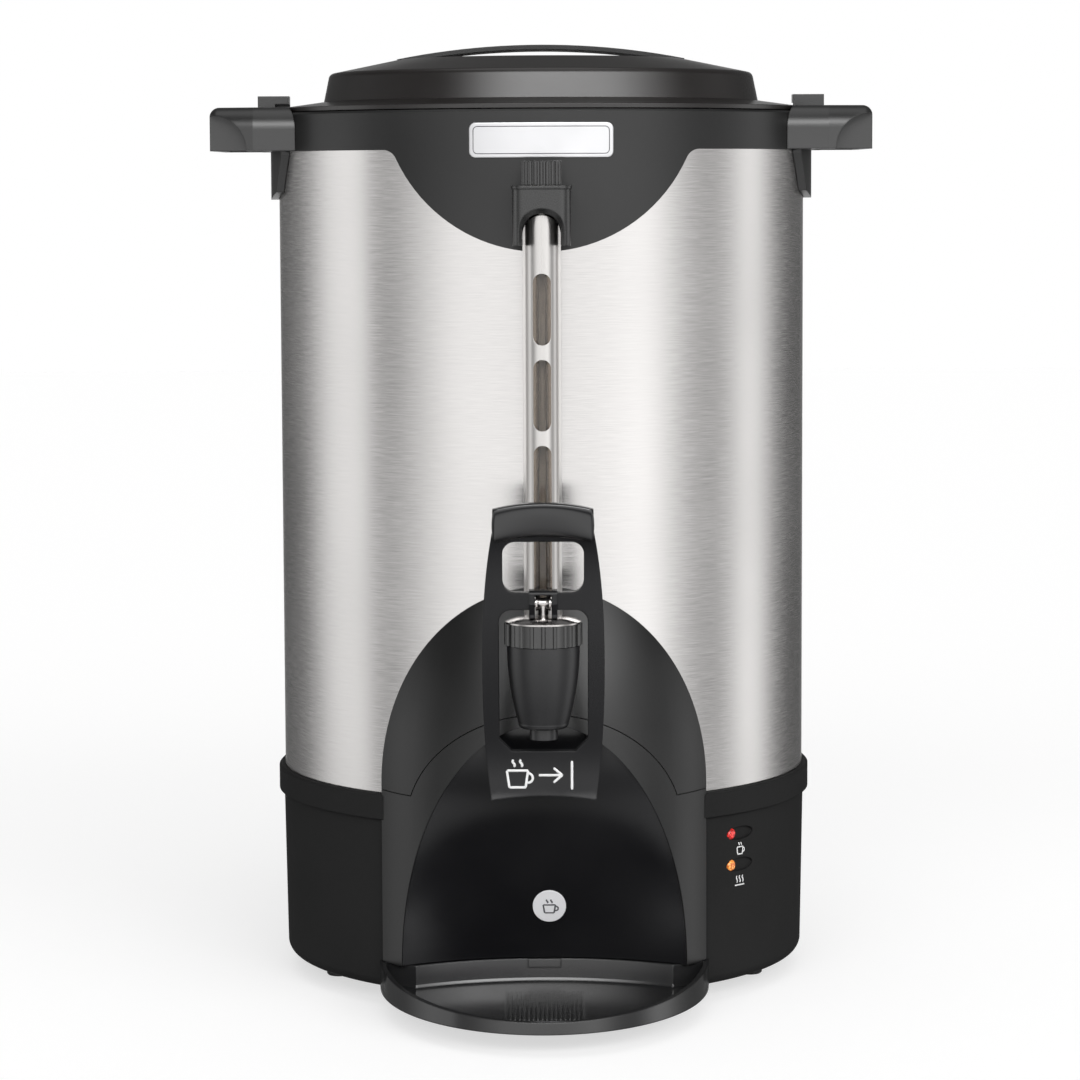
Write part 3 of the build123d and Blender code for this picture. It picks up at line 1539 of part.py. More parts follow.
with BuildPart() as handle_screws:
    # long screws through collar and shell, short ones through the shell alone
    skirt_inner = groove_inner - collar_skirt
    upper_seat_x = sqrt(skirt_inner**2 - (handle_screw_spread + screw_head_radius) ** 2) - fit
    lower_seat_x = sqrt((shell_radius - shell_wall) ** 2 - screw_head_radius**2) - fit
    screw_places = (
        (-handle_screw_spread, upper_screw_z, upper_seat_x, upper_screw_x + handle_screw_bite),
        (handle_screw_spread, upper_screw_z, upper_seat_x, upper_screw_x + handle_screw_bite),
        (0, lower_screw_z, lower_seat_x, shell_radius + handle_screw_bite),
    )
    for side in (-1, 1):
        for screw_y, screw_z, seat_x, tip_x in screw_places:
            with BuildSketch(
                Plane(
                    origin=(side * seat_x, screw_y, screw_z),
                    x_dir=(0, side, 0),
                    z_dir=(side, 0, 0),
                )
            ):
                Circle(handle_screw_radius)
            extrude(amount=tip_x - seat_x)
            with BuildSketch(
                Plane(
                    origin=(side * seat_x, screw_y, screw_z),
                    x_dir=(0, side, 0),
                    z_dir=(side, 0, 0),
                )
            ):
                Circle(screw_head_radius)
            extrude(amount=-screw_head_height)
handle_screws.part.label = "handle_screws"
export_step(handle_screws.part, "parts/handle_screws.step")

# ---------------------------------------------------------------- percolator
bell_foot = tank_well_floor + tank_wall + fit
tube_shoulder = basket_bottom - fit
with BuildPart() as pump_tube:
    with BuildSketch(Plane.XZ):
        with BuildLine():
            Polyline(
                (pump_bell_radius, bell_foot),
                (pump_bell_radius, bell_foot + 1.0),
                (pump_tube_radius, bell_foot + pump_bell_height),
                (pump_tube_radius, tube_shoulder - 1.5),
                (pump_tube_radius + 3.0, tube_shoulder - 1.5),
                (pump_tube_radius + 3.0, tube_shoulder),
                (pump_tube_radius, tube_shoulder),
                (pump_tube_radius, pump_tube_top),
                (pump_tube_radius - pump_tube_wall, pump_tube_top),
                (pump_tube_radius - pump_tube_wall, bell_foot + pump_bell_height),
                (pump_bell_radius - pump_tube_wall, bell_foot + 1.0),
                (pump_bell_radius - pump_tube_wall, bell_foot),
                (pump_bell_radius, bell_foot),
            )
        make_face()
    revolve(axis=Axis.Z)
    # water enters through notches in the bell's foot
    with BuildSketch(Plane.XY.offset(bell_foot)):
        with PolarLocations(pump_bell_radius, 6):
            Rectangle(6.0, 8.0)
    extrude(amount=0.8, mode=Mode.SUBTRACT)
pump_tube.part.label = "pump_tube"
export_step(pump_tube.part, "parts/pump_tube.step")

basket_top = basket_bottom + basket_height
sleeve_bore = pump_tube_radius + 2 * fit
with BuildPart() as basket:
    with BuildSketch(Plane.XZ):
        with BuildLine():
            Polyline(
                (sleeve_bore, basket_bottom),
                (basket_radius, basket_bottom),
                (basket_radius, basket_top - basket_wall),
                (basket_radius + 2.0, basket_top - basket_wall),
                (basket_radius + 2.0, basket_top),
                (basket_radius - basket_wall, basket_top),
                (basket_radius - basket_wall, basket_bottom + basket_wall),
                (sleeve_bore + basket_wall, basket_bottom + basket_wall),
                (sleeve_bore + basket_wall, basket_top),
                (sleeve_bore, basket_top),
                (sleeve_bore, basket_bottom),
            )
        make_face()
    revolve(axis=Axis.Z)
    with BuildSketch(Plane.XY.offset(basket_bottom)):
        for ring, count in basket_hole_rings:
            with PolarLocations(ring, count):
                Circle(basket_hole_radius)
    extrude(amount=basket_wall, mode=Mode.SUBTRACT)
basket.part.label = "basket"
export_step(basket.part, "parts/basket.step")

with BuildPart() as basket_cover:
    with BuildSketch(Plane.XZ):
        with BuildLine():
            Polyline(
                (sleeve_bore, basket_top + fit),
                (basket_radius, basket_top + fit),
                (basket_radius, basket_top + fit + cover_height),
                (basket_radius - basket_wall, basket_top + fit + cover_height),
                (basket_radius - basket_wall, basket_top + fit + basket_wall),
                (sleeve_bore, basket_top + fit + basket_wall),
                (sleeve_bore, basket_top + fit),
            )
        make_face()
    revolve(axis=Axis.Z)
    with BuildSketch(Plane.XY.offset(basket_top)):
        for ring, count in basket_hole_rings:
            with PolarLocations(ring, count):
                Circle(basket_hole_radius)
    extrude(amount=2 * basket_wall, mode=Mode.SUBTRACT)
basket_cover.part.label = "basket_cover"
export_step(basket_cover.part, "parts/basket_cover.step")

# ---------------------------------------------------------------- heater under the tank
heater_top = shank_floor - tank_floor_fall - fit
with BuildPart() as heater_ring:
    with BuildSketch(Plane.XY.offset(heater_top - heater_height)):
        Circle(tank_well_radius + fit + heater_width)
        Circle(tank_well_radius + fit, mode=Mode.SUBTRACT)
    extrude(amount=heater_height)
    chamfer(heater_ring.edges().group_by(Axis.Z)[0], 1.5)
    # cold ends
    with BuildSketch(Plane.XY.offset(heater_top - heater_height)):
        with Locations((0, tank_well_radius + heater_width / 2)):
            with GridLocations(2 * heater_width, 1, 2, 1):
                Circle(heater_width / 4)
    extrude(amount=-heater_height)
heater_ring.part.label = "heater_ring"
export_step(heater_ring.part, "parts/heater_ring.step")

well_underside = tank_well_floor - fit
with BuildPart() as thermostat:
    with BuildSketch(Plane.XY.offset(well_underside)):
        with Locations((-tank_well_radius / 2 - 1.0, 0)):
            Circle(thermostat_radius)
    extrude(amount=-thermostat_height)
    fillet(thermostat.edges().group_by(Axis.Z)[0], 1.0)
thermostat.part.label = "thermostat"
export_step(thermostat.part, "parts/thermostat.step")

with BuildPart() as thermal_fuse:
    with BuildSketch(Plane.XZ.offset(-fuse_length / 2)):
        with Locations((tank_well_radius / 2, well_underside - fuse_radius)):
            Circle(fuse_radius)
    extrude(amount=fuse_length)
thermal_fuse.part.label = "thermal_fuse"
export_step(thermal_fuse.part, "parts/thermal_fuse.step")

# ---------------------------------------------------------------- stud that ties the tank to the base
stud_nut_top = foot_height + fit
stud_tip = stud_nut_top - stud_nut_height - 0.5
with BuildPart() as tie_stud:
    with BuildSketch(Plane.XY.offset(stud_tip)):
        Circle(stud_radius)
    extrude(amount=well_underside - stud_tip)
    chamfer(tie_stud.edges().group_by(Axis.Z)[0], 0.5)
tie_stud.part.label = "tie_stud"
export_step(tie_stud.part, "parts/tie_stud.step")

with BuildPart() as stud_nut:
    with BuildSketch(Plane.XY.offset(stud_nut_top - stud_nut_height)):
        RegularPolygon(stud_nut_width / 2, 6, major_radius=False)
        Circle(stud_radius + running, mode=Mode.SUBTRACT)
    extrude(amount=stud_nut_height)
stud_nut.part.label = "stud_nut"
export_step(stud_nut.part, "parts/stud_nut.step")
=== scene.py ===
"""Looks for the cup-press coffee urn: finishes, marks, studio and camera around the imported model.

The urn's front faces -y. Lengths are metres, or millimetres where a comment or docstring says so.
"""

import math

import bmesh
import bpy
import numpy as np
from mathutils import Matrix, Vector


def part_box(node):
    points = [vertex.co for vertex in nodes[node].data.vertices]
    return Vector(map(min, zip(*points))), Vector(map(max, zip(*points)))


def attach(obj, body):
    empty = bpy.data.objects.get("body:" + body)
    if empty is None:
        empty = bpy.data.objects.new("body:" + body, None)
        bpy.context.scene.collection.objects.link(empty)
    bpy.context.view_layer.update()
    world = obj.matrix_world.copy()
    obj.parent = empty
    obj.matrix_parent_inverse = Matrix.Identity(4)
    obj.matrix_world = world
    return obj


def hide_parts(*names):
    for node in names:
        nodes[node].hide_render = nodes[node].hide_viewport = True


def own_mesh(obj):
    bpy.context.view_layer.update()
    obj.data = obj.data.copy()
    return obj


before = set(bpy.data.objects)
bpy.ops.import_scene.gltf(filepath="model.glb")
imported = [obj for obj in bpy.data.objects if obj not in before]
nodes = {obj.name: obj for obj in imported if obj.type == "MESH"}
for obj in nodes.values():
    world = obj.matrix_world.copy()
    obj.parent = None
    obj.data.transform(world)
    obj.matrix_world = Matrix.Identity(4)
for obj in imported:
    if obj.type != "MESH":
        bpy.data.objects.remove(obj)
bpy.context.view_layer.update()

millimetre = 0.001


# ------------------------------------------------------------------ shader arithmetic


class Socket:
    """An output in a node tree. Arithmetic on it adds Math nodes and gives the next output."""

    def __init__(self, graph, output):
        self.graph = graph
        self.output = output

    def math(self, operation, *values):
        """A Math node on this output and the given values, in that order."""
        operands = dict(enumerate((self, *values)))
        return self.graph.add("ShaderNodeMath", settings={"operation": operation}, sockets=operands)

    def __add__(self, other):
        return self.math("ADD", other)

    def __mul__(self, other):
        return self.math("MULTIPLY", other)

    def __sub__(self, other):
        return self.math("SUBTRACT", other)

    def __rsub__(self, other):
        return self * -1.0 + other

    __radd__ = __add__
    __rmul__ = __mul__


class Graph:
    """The node tree of one material or of the world."""

    def __init__(self, tree):
        self.tree = tree
        tree.nodes.clear()

    def add(self, kind, out=0, settings=None, sockets=None):
        """A node of any kind: settings are set first, then the sockets are set or linked."""
        node = self.tree.nodes.new(kind)
        for name, value in (settings or {}).items():
            if name == "stops":
                self.set_stops(node.color_ramp, value)
            else:
                setattr(node, name, value)
        for name, value in (sockets or {}).items():
            self.feed(node.inputs[name], value)
        return Socket(self, node.outputs[out]) if node.outputs else None

    def feed(self, socket, value):
        """Links an output to the socket, or sets a plain value on it."""
        if isinstance(value, Socket):
            self.tree.links.new(value.output, socket)
        elif hasattr(value, "__len__") and socket.type == "RGBA":
            socket.default_value = (*value, 1.0)
        else:
            socket.default_value = value

    @staticmethod
    def set_stops(ramp, stops):
        """Gives a colour ramp its stops, each a position and a grey."""
        while len(ramp.elements) < len(stops):
            ramp.elements.new(1.0)
        for element, (position, level) in zip(ramp.elements, stops):
            element.position = position
            element.color = (level, level, level, 1.0)

    def place(self):
        """Object coordinates: metres in the urn's own frame."""
        return self.add("ShaderNodeTexCoord", out="Object")

    def split(self, vector):
        """The three parts of a vector, each as an output of its own."""
        return [self.add("ShaderNodeSeparateXYZ", out=axis, sockets={0: vector}) for axis in "XYZ"]

    def join(self, x, y, z):
        """A vector from three values or outputs."""
        return self.add("ShaderNodeCombineXYZ", sockets={0: x, 1: y, 2: z})

    def noise(self, vector, scale=1.0, detail=2.0, roughness=0.5):
        """Soft noise from 0 to 1 over a vector, with scale in repeats for each unit."""
        sockets = {"Vector": vector, "Scale": scale, "Detail": detail, "Roughness": roughness}
        return self.add("ShaderNodeTexNoise", sockets=sockets)

    def span(self, value, low=0.3, high=0.7, to_low=0.0, to_high=1.0):
        """The value eased from low..high, by default where soft noise mostly lies, to to_low..to_high."""
        settings = {"interpolation_type": "SMOOTHSTEP"}
        sockets = {0: value, 1: low, 2: high, 3: to_low, 4: to_high}
        return self.add("ShaderNodeMapRange", settings=settings, sockets=sockets)

    def profile(self, value, reach, stops):
        """The height, over a value of -reach..reach, of the line through the stops."""
        placed = [(0.5 + 0.5 * place / reach, height) for place, height in stops]
        share = value * (0.5 / reach) + 0.5
        return self.add("ShaderNodeValToRGB", settings={"stops": placed}, sockets={0: share})

    def tint(self, share, first, second):
        """A colour between two others."""
        settings = {"data_type": "RGBA"}
        return self.add("ShaderNodeMix", out=2, settings=settings, sockets={0: share, 6: first, 7: second})

    def bump(self, height, depth, strength, normal=None):
        """A normal from a height of 0 to 1 that stands for the given depth in metres."""
        sockets = {"Strength": strength, "Distance": depth, "Height": height}
        if normal is not None:
            sockets["Normal"] = normal
        return self.add("ShaderNodeBump", sockets=sockets)

    def soft_edges(self, radius):
        """A normal that rounds the sharp edges of a piece by the given radius in metres."""
        return self.add("ShaderNodeBevel", settings={"samples": 4}, sockets={"Radius": radius})

    def surface(self, **sockets):
        """The Principled shader with the given sockets, joined to the material's output."""
        named = {name.replace("_", " "): value for name, value in sockets.items()}
        shader = self.add("ShaderNodeBsdfPrincipled", sockets=named)
        self.add("ShaderNodeOutputMaterial", sockets={"Surface": shader})


def material(name):
    """A new material and its empty graph."""
    made = bpy.data.materials.new(name)
    made.use_nodes = True
    return made, Graph(made.node_tree)


def shade(tint, share):
    """A share of a colour."""
    return tuple(share * part for part in tint)


def greys(*levels):
    """Neutral greys of the given levels."""
    return [(level, level, level) for level in levels]


# ------------------------------------------------------------------ finishes


def tray_relief(graph, soft):
    """The tray's rear wall leans back over a rounded foot, so that it looks up at the light."""
    wall_front, wall_back = -145 * millimetre, -135 * millimetre
    wall_foot, foot_height = 12.6 * millimetre, 1.6 * millimetre
    wall_lean, foot_lean = 0.10, 0.20
    y, z = graph.split(graph.place())[1:]
    rear = graph.span(y, wall_front, wall_back)
    climb = (z - wall_foot).math("MAXIMUM", 0.0)
    foot = climb.math("MINIMUM", foot_height)
    return graph.bump((climb * wall_lean + foot * foot_lean) * rear * -1.0, 1.0, 1.0, soft)


def moulded_plastic(name, tones, roughness, grain, specular=0.5, edge=0.5, relief=None):
    """Injection-moulded plastic: eroded grain, faint clouds in tone and sheen, softened edges.

    The depth of the grain and the radius of the edges are millimetres.
    """
    made, graph = material(name)
    place = graph.place()
    soft = graph.soft_edges(edge * millimetre)
    if relief:
        soft = relief(graph, soft)
    cloud = graph.noise(place, scale=16.0, detail=3.0)
    pits = graph.noise(place, scale=2200.0, detail=3.0, roughness=0.6)
    speck = graph.noise(place, scale=700.0)
    graph.surface(
        Base_Color=graph.tint(graph.span(cloud + (speck - 0.5) * 0.25), *tones),
        Roughness=graph.span(cloud * 0.6 + pits * 0.4, to_low=roughness - 0.04, to_high=roughness + 0.05),
        Specular_IOR_Level=specular,
        Normal=graph.bump(pits * 0.7 + speck * 0.3, grain * millimetre, 1.0, soft),
    )
    return made


def brushed_steel(name, tint, roughness, wrap_radius, anisotropy):
    """Sheet steel with a grain of fine and broad streaks: long round the axis, thin in height.

    The numbers of streaks are for each metre round and up, and the layer keeps the two grains apart.
    """
    fine_round, fine_up = 90.0, 4200.0
    broad_round, broad_up, broad_layer = 30.0, 1300.0, 3.0
    made, graph = material(name)
    x, y, z = graph.split(graph.place())
    turn = x.math("ARCTAN2", y) * wrap_radius
    fine = graph.noise(graph.join(turn * fine_round, z * fine_up, 0.0), detail=3.0, roughness=0.6)
    broad_place = graph.join(turn * broad_round, z * broad_up, broad_layer)
    broad = graph.noise(broad_place, detail=3.0, roughness=0.55)
    cloud = graph.noise(graph.place(), scale=9.0)
    streak = fine * 0.75 + broad * 0.25
    worn = streak * 0.75 + cloud * 0.25
    graph.surface(
        Base_Color=graph.tint(graph.span(streak, 0.32, 0.68), shade(tint, 0.88), tint),
        Metallic=1.0,
        Roughness=graph.span(worn, to_low=roughness - 0.05, to_high=roughness + 0.06),
        Anisotropic=anisotropy,
        Normal=graph.bump(streak, 0.006 * millimetre, 0.5),
    )
    return made


def polished_tube_steel(name, tint, roughness):
    """Drawn and polished tube: faint lengthwise drawing marks, so many for each metre across and along."""
    across, along = 3000.0, 30.0
    made, graph = material(name)
    x, y, z = graph.split(graph.place())
    marks = graph.noise(graph.join(x * across, y * across, z * along))
    cloud = graph.noise(graph.place(), scale=40.0)
    graph.surface(
        Base_Color=graph.tint(marks, shade(tint, 0.92), tint),
        Metallic=1.0,
        Roughness=graph.span(marks * 0.6 + cloud * 0.4, to_low=roughness, to_high=roughness + 0.07),
        Normal=graph.bump(marks, 0.006 * millimetre, 0.4, graph.soft_edges(0.25 * millimetre)),
    )
    return made


def plain_metal(name, tint, roughness, mottle=0.1):
    """Metal with a faint mottle in tone and sheen."""
    made, graph = material(name)
    cloud = graph.noise(graph.place(), scale=120.0, detail=3.0)
    graph.surface(
        Base_Color=graph.tint(cloud, shade(tint, 1 - mottle), tint),
        Metallic=1.0,
        Roughness=graph.span(cloud, to_low=roughness, to_high=roughness + 0.08),
        Normal=graph.bump(cloud, 0.01 * millimetre, 0.4, graph.soft_edges(0.2 * millimetre)),
    )
    return made


def rubber(name, tint, roughness):
    """Matt rubber or silicone with a fine bloom."""
    made, graph = material(name)
    bloom = graph.noise(graph.place(), scale=400.0, detail=3.0)
    graph.surface(
        Base_Color=graph.tint(bloom, shade(tint, 0.8), tint),
        Roughness=graph.span(bloom, to_low=roughness - 0.06, to_high=roughness + 0.06),
        Normal=graph.bump(bloom, 0.03 * millimetre, 0.6, graph.soft_edges(0.3 * millimetre)),
    )
    return made


def clear_glass(name, tint):
    """Borosilicate gauge glass with faint drawing waves, so many for each metre across and along."""
    across, along = 300.0, 12.0
    made, graph = material(name)
    x, y, z = graph.split(graph.place())
    waves = graph.noise(graph.join(x * across, y * across, z * along))
    graph.surface(
        Base_Color=tint,
        Roughness=graph.span(waves, to_low=0.01, to_high=0.04),
        IOR=1.47,
        Transmission_Weight=1.0,
        Normal=graph.bump(waves, 0.01 * millimetre, 0.3),
    )
    return made


def printed_ink(name, tone, roughness):
    """Screen-printed ink or an enamelled label: a faint mesh pattern in tone and sheen."""
    made, graph = material(name)
    mesh_mark = graph.noise(graph.place(), scale=1500.0)
    cloud = graph.noise(graph.place(), scale=90.0)
    graph.surface(
        Base_Color=graph.tint(mesh_mark * 0.5 + cloud * 0.5, shade(tone, 0.9), tone),
        Roughness=graph.span(mesh_mark, to_low=roughness - 0.04, to_high=roughness + 0.06),
        Normal=graph.bump(mesh_mark, 0.01 * millimetre, 0.4),
    )
    return made


def lamp_lens(name, deep, bright, glow):
    """A coloured lens with moulded prisms that scatter a lit lamp."""
    made, graph = material(name)
    cells = {"Vector": graph.place(), "Scale": 900.0}
    prisms = graph.add("ShaderNodeTexVoronoi", settings={"feature": "F1"}, sockets=cells)
    shine = graph.tint(graph.span(prisms, 0.1, 0.7, 1.0, 0.0), deep, bright)
    graph.surface(
        Base_Color=shine,
        Roughness=graph.span(prisms, 0.0, 1.0, 0.12, 0.3),
        Coat_Weight=0.6,
        Emission_Color=shine,
        Emission_Strength=glow,
        Normal=graph.bump(prisms, 0.25 * millimetre, 0.7),
    )
    return made


# Each plastic has a dark and a light tone.
cool_black = (0.006, 0.006, 0.007), (0.010, 0.010, 0.011)
warm_black = (0.009, 0.0075, 0.007), (0.012, 0.010, 0.0095)
faucet_tones = (0.010, 0.010, 0.011), (0.016, 0.016, 0.017)
tray_tones = (0.012, 0.012, 0.013), (0.018, 0.018, 0.018)
grip_tones = greys(0.008, 0.012)

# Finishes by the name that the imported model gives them.
finishes = {
    "satin_black": moulded_plastic("satin_black", greys(0.007, 0.011), 0.36, grain=0.02),
    "gloss_black": moulded_plastic("gloss_black", cool_black, 0.22, grain=0.004),
    "faucet_black": moulded_plastic("faucet_black", faucet_tones, 0.32, grain=0.01),
    "shell_steel": brushed_steel("shell_steel", (0.665, 0.65, 0.64), 0.17, 136 * millimetre, 0.95),
    "gauge_steel": polished_tube_steel("gauge_steel", (0.60, 0.585, 0.57), 0.27),
    "tank_steel": brushed_steel("tank_steel", (0.60, 0.59, 0.57), 0.30, 117 * millimetre, 0.6),
    "plate_zinc": plain_metal("plate_zinc", (0.55, 0.56, 0.58), 0.42, mottle=0.25),
    "cap_chrome": plain_metal("cap_chrome", (0.52, 0.50, 0.49), 0.14, mottle=0.04),
    "gauge_glass": clear_glass("gauge_glass", (0.60, 0.56, 0.52)),
    "black_rubber": rubber("black_rubber", (0.018, 0.018, 0.018), 0.75),
    "seal_silicone": rubber("seal_silicone", (0.62, 0.61, 0.58), 0.45),
    "lamp_red": lamp_lens("lamp_red", (0.30, 0.004, 0.004), (0.95, 0.05, 0.04), glow=0.5),
    "lamp_amber": lamp_lens("lamp_amber", (0.45, 0.10, 0.01), (1.0, 0.42, 0.10), glow=0.5),
    "spring_steel": plain_metal("spring_steel", (0.56, 0.55, 0.54), 0.28),
    "heater_metal": plain_metal("heater_metal", (0.42, 0.40, 0.38), 0.45, mottle=0.3),
}

# Finishes of the plates, marks and trim that are added here.
added_finishes = {
    "white_ink": printed_ink("white_ink", (0.86, 0.86, 0.86), 0.45),
    "grey_ink": printed_ink("grey_ink", (0.10, 0.10, 0.11), 0.40),
    "label_white": printed_ink("label_white", (0.86, 0.86, 0.88), 0.35),
    "plate_silver": plain_metal("plate_silver", (0.62, 0.62, 0.63), 0.36, mottle=0.03),
    "stripe_white": printed_ink("stripe_white", (0.85, 0.82, 0.78), 0.35),
    "stripe_black": printed_ink("stripe_black", (0.01, 0.01, 0.01), 0.35),
    "roll_black": moulded_plastic("roll_black", cool_black, 0.16, grain=0.004, specular=1.0, edge=0.3),
}

lever_black = moulded_plastic("lever_black", cool_black, 0.22, grain=0.006, specular=0.35, edge=1.1)
nut_black = moulded_plastic("nut_black", greys(0.009, 0.014), 0.20, grain=0.004, specular=0.9, edge=0.4)
bracket_black = moulded_plastic("bracket_black", grip_tones, 0.28, grain=0.008, specular=0.8, edge=0.9)
handle_black = moulded_plastic("handle_black", grip_tones, 0.34, grain=0.015, specular=0.8, edge=0.8)
lid_black = moulded_plastic("lid_black", warm_black, 0.30, grain=0.015, specular=0.7)
base_black = moulded_plastic("base_black", greys(0.012, 0.016), 0.62, grain=0.03, specular=0.12)
tray_black = moulded_plastic(
    "tray_black", tray_tones, 0.20, grain=0.006, specular=0.8, edge=1.0, relief=tray_relief
)

# Pieces whose plastic has a finish of its own.
own_finishes = {
    "cup_lever": lever_black,
    "bonnet_nut": nut_black,
    "gauge_knob": nut_black,
    "gauge_bracket": bracket_black,
    "left_handle": handle_black,
    "right_handle": handle_black,
    "lid_shell": lid_black,
    "base_housing": base_black,
    "drip_tray": tray_black,
}

for name, node in nodes.items():
    for slot in node.material_slots:
        slot.material = own_finishes.get(name) or finishes[slot.material.name.split(".")[0]]


# ------------------------------------------------------------------ making and settling added pieces


def new_object(name, data):
    """A new object at the origin, linked to the scene."""
    made = bpy.data.objects.new(name, data)
    bpy.context.scene.collection.objects.link(made)
    return made


def weld(mesh, rebuild):
    """Merges doubled corners. Rebuilding also drops faces without area and turns the rest outwards."""
    weld_distance = 0.0001 * millimetre
    work = bmesh.new()
    work.from_mesh(mesh)
    bmesh.ops.remove_doubles(work, verts=work.verts, dist=weld_distance)
    if rebuild:
        bmesh.ops.dissolve_degenerate(work, dist=weld_distance, edges=work.edges)
        bmesh.ops.recalc_face_normals(work, faces=work.faces)
    work.to_mesh(mesh)
    work.free()


def add_piece(name, corners, faces, finish, body):
    """A closed piece from its corners in millimetres and its quads, riding on a body."""
    mesh = bpy.data.meshes.new(name)
    mesh.from_pydata((corners.reshape(-1, 3) * millimetre).tolist(), [], faces.tolist())
    weld(mesh, rebuild=True)
    mesh.materials.append(added_finishes[finish])
    mesh.shade_smooth()
    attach(new_object(name, mesh), body)


def ring_quads(rings, points):
    """Quads between rings that each hold the same number of points and close on themselves."""
    ring, point = np.meshgrid(np.arange(rings - 1), np.arange(points), indexing="ij")
    following = (point + 1) % points
    here = ring * points
    there = here + points
    quads = [here + point, here + following, there + following, there + point]
    return np.stack(quads, axis=-1).reshape(-1, 4)


# A settling function takes places across, up and out from a surface, and gives points in the urn's frame,
# all in millimetres. What is settled has its underside sunk this far into the surface.
sunk = 0.1


def on_drum(radius, height, bearing=0.0, cone=0.0, axis=0.0):
    """Settles on an upright drum: across becomes an angle, and the radius grows with height by the cone.

    The bearing is in degrees from the front, and the axis is the drum's place in y.
    """

    def settle(across, up, rise):
        level_radius = radius + cone * up
        angle = math.radians(bearing) + across / level_radius
        reach = level_radius + rise
        return np.stack([reach * np.sin(angle), axis - reach * np.cos(angle), height + up], axis=-1)

    return settle


def on_base(radius, height):
    """Settles beside the lamps on the base, a drum that widens slightly with height."""
    return on_drum(radius, height, bearing=46.5, cone=0.0175)


def on_lever(across, up, rise):
    """Settles on the lever's lower panel: its front is a shallow hollow, a cubic over the height."""
    panel_front, panel_middle = -175.4, 128.0
    hollow = 0.0092 * up**2 - 0.00012 * up**3
    return np.stack([across, panel_front - hollow - rise, panel_middle + up], axis=-1)


def on_lever_head(across, up, rise):
    """Settles on the lever's head: its front curls forwards as a cubic, and its top is a parabola."""
    head_front, head_foot, head_middle, half_width = -191.2, 236.0, 253.3, 24.0
    arch = 3.0
    out, down = 0.84, 0.54
    height = head_middle + up - arch * (across / half_width) ** 2
    climb = height - head_foot
    curl = 0.2136 * climb + 0.00527 * climb**2 + 0.000301 * climb**3
    return np.stack([across, head_front - curl - out * rise, height - down * rise], axis=-1)


def on_splash(across, up, rise):
    """Settles on the splash panel, which leans forwards and falls back from its middle as a parabola."""
    slope, front_at_zero, label_height = 0.4622, 94.555, 53.0
    bow_at_foot, bow_loss, panel_foot = 0.00226, 0.0000637, 44.0
    lean = math.atan(slope)
    height = label_height + up * math.cos(lean) - rise * math.sin(lean)
    bow = (bow_at_foot - bow_loss * (height - panel_foot)) * across**2
    front = front_at_zero + slope * height + bow
    return np.stack([across, -front - rise / math.cos(lean), height], axis=-1)


def walk(path):
    """A path's length, and the function that gives its points at distances along it."""
    path = np.asarray(path, dtype=float)
    reached = np.concatenate([[0.0], np.cumsum(np.hypot(*np.diff(path, axis=0).T))])

    def at(distances):
        return np.stack([np.interp(distances, reached, side) for side in path.T], axis=-1)

    return reached[-1], at


def stroke(path, width, rise, settle):
    """A printed line: a path with half the width to each side, and a half circle at both ends."""
    steps_per_millimetre, fewest_steps, look = 2, 40, 0.05
    length, at = walk(path)
    half = width / 2
    end = half * (1 - np.cos(np.linspace(0.0, math.pi / 2, 7)))
    count = max(fewest_steps, int(length * steps_per_millimetre))
    middle = np.linspace(half, length - half, count)[1:-1]
    steps = np.concatenate([end, middle, length - end[::-1]])
    heading = at(steps + look) - at(steps - look)
    heading /= np.hypot(*heading.T)[:, None]
    inset = np.minimum(steps, length - steps).clip(0, half)
    reach = np.sqrt(np.maximum(half**2 - (half - inset) ** 2, 0.0))[:, None]
    aside = np.stack([-heading[:, 1], heading[:, 0]], axis=-1) * reach
    left, right = at(steps) - aside, at(steps) + aside
    sides = np.stack([left, left, right, right], axis=1)
    heights = np.broadcast_to([-sunk, rise, rise, -sunk], sides.shape[:2])
    return settle(sides[..., 0], sides[..., 1], heights).reshape(-1, 3), ring_quads(len(steps), 4)


def print_mark(name, paths, width, settle, finish, body, rise=0.06):
    """One mark of several strokes, settled on what carries it."""
    corners, faces, count = [], [], 0
    for path in paths:
        stroke_corners, stroke_faces = stroke(path, width, rise, settle)
        corners.append(stroke_corners)
        faces.append(stroke_faces + count)
        count += len(stroke_corners)
    add_piece(name, np.concatenate(corners), np.concatenate(faces), finish, body)


def plaque(name, outline, thickness, crown, edge, settle, finish, body):
    """A thin plate: its outline drawn in towards the middle in rings, crowned, with a quarter-round edge."""
    outline = np.asarray(outline, dtype=float)
    reach = np.hypot(*outline.T).mean()
    turn = np.linspace(0.0, math.pi / 2, 6)
    under = np.linspace(0.0, 1.0, 13)
    rim = 1 - edge / reach * (1 - np.cos(turn))
    top = np.linspace(rim[-1], 0.0, 14)[1:]
    shares = np.concatenate([under, rim, top])
    rim_rises = thickness - edge + edge * np.sin(turn)
    rises = np.concatenate([np.full(len(under), -sunk), rim_rises, thickness + crown * (1 - top**2)])
    spread = shares[:, None, None] * outline
    corners = settle(spread[..., 0], spread[..., 1], np.broadcast_to(rises[:, None], spread.shape[:2]))
    add_piece(name, corners, ring_quads(len(shares), len(outline)), finish, body)


def rounded_box(width, height, radius):
    """A rectangle's outline with four quarter circles for corners, as points at even steps."""
    outline_points = 240
    quarter = np.linspace(0.0, math.pi / 2, 16)
    turns = np.concatenate([quarter + side * math.pi / 2 for side in range(4)])
    centres = np.repeat([[1, 1], [-1, 1], [-1, -1], [1, -1]], len(quarter), axis=0)
    centres = centres * [width / 2 - radius, height / 2 - radius]
    outline = centres + radius * np.stack([np.cos(turns), np.sin(turns)], axis=-1)
    length, at = walk(np.concatenate([outline, outline[:1]]))
    return at(np.linspace(0.0, length, outline_points)[:-1])


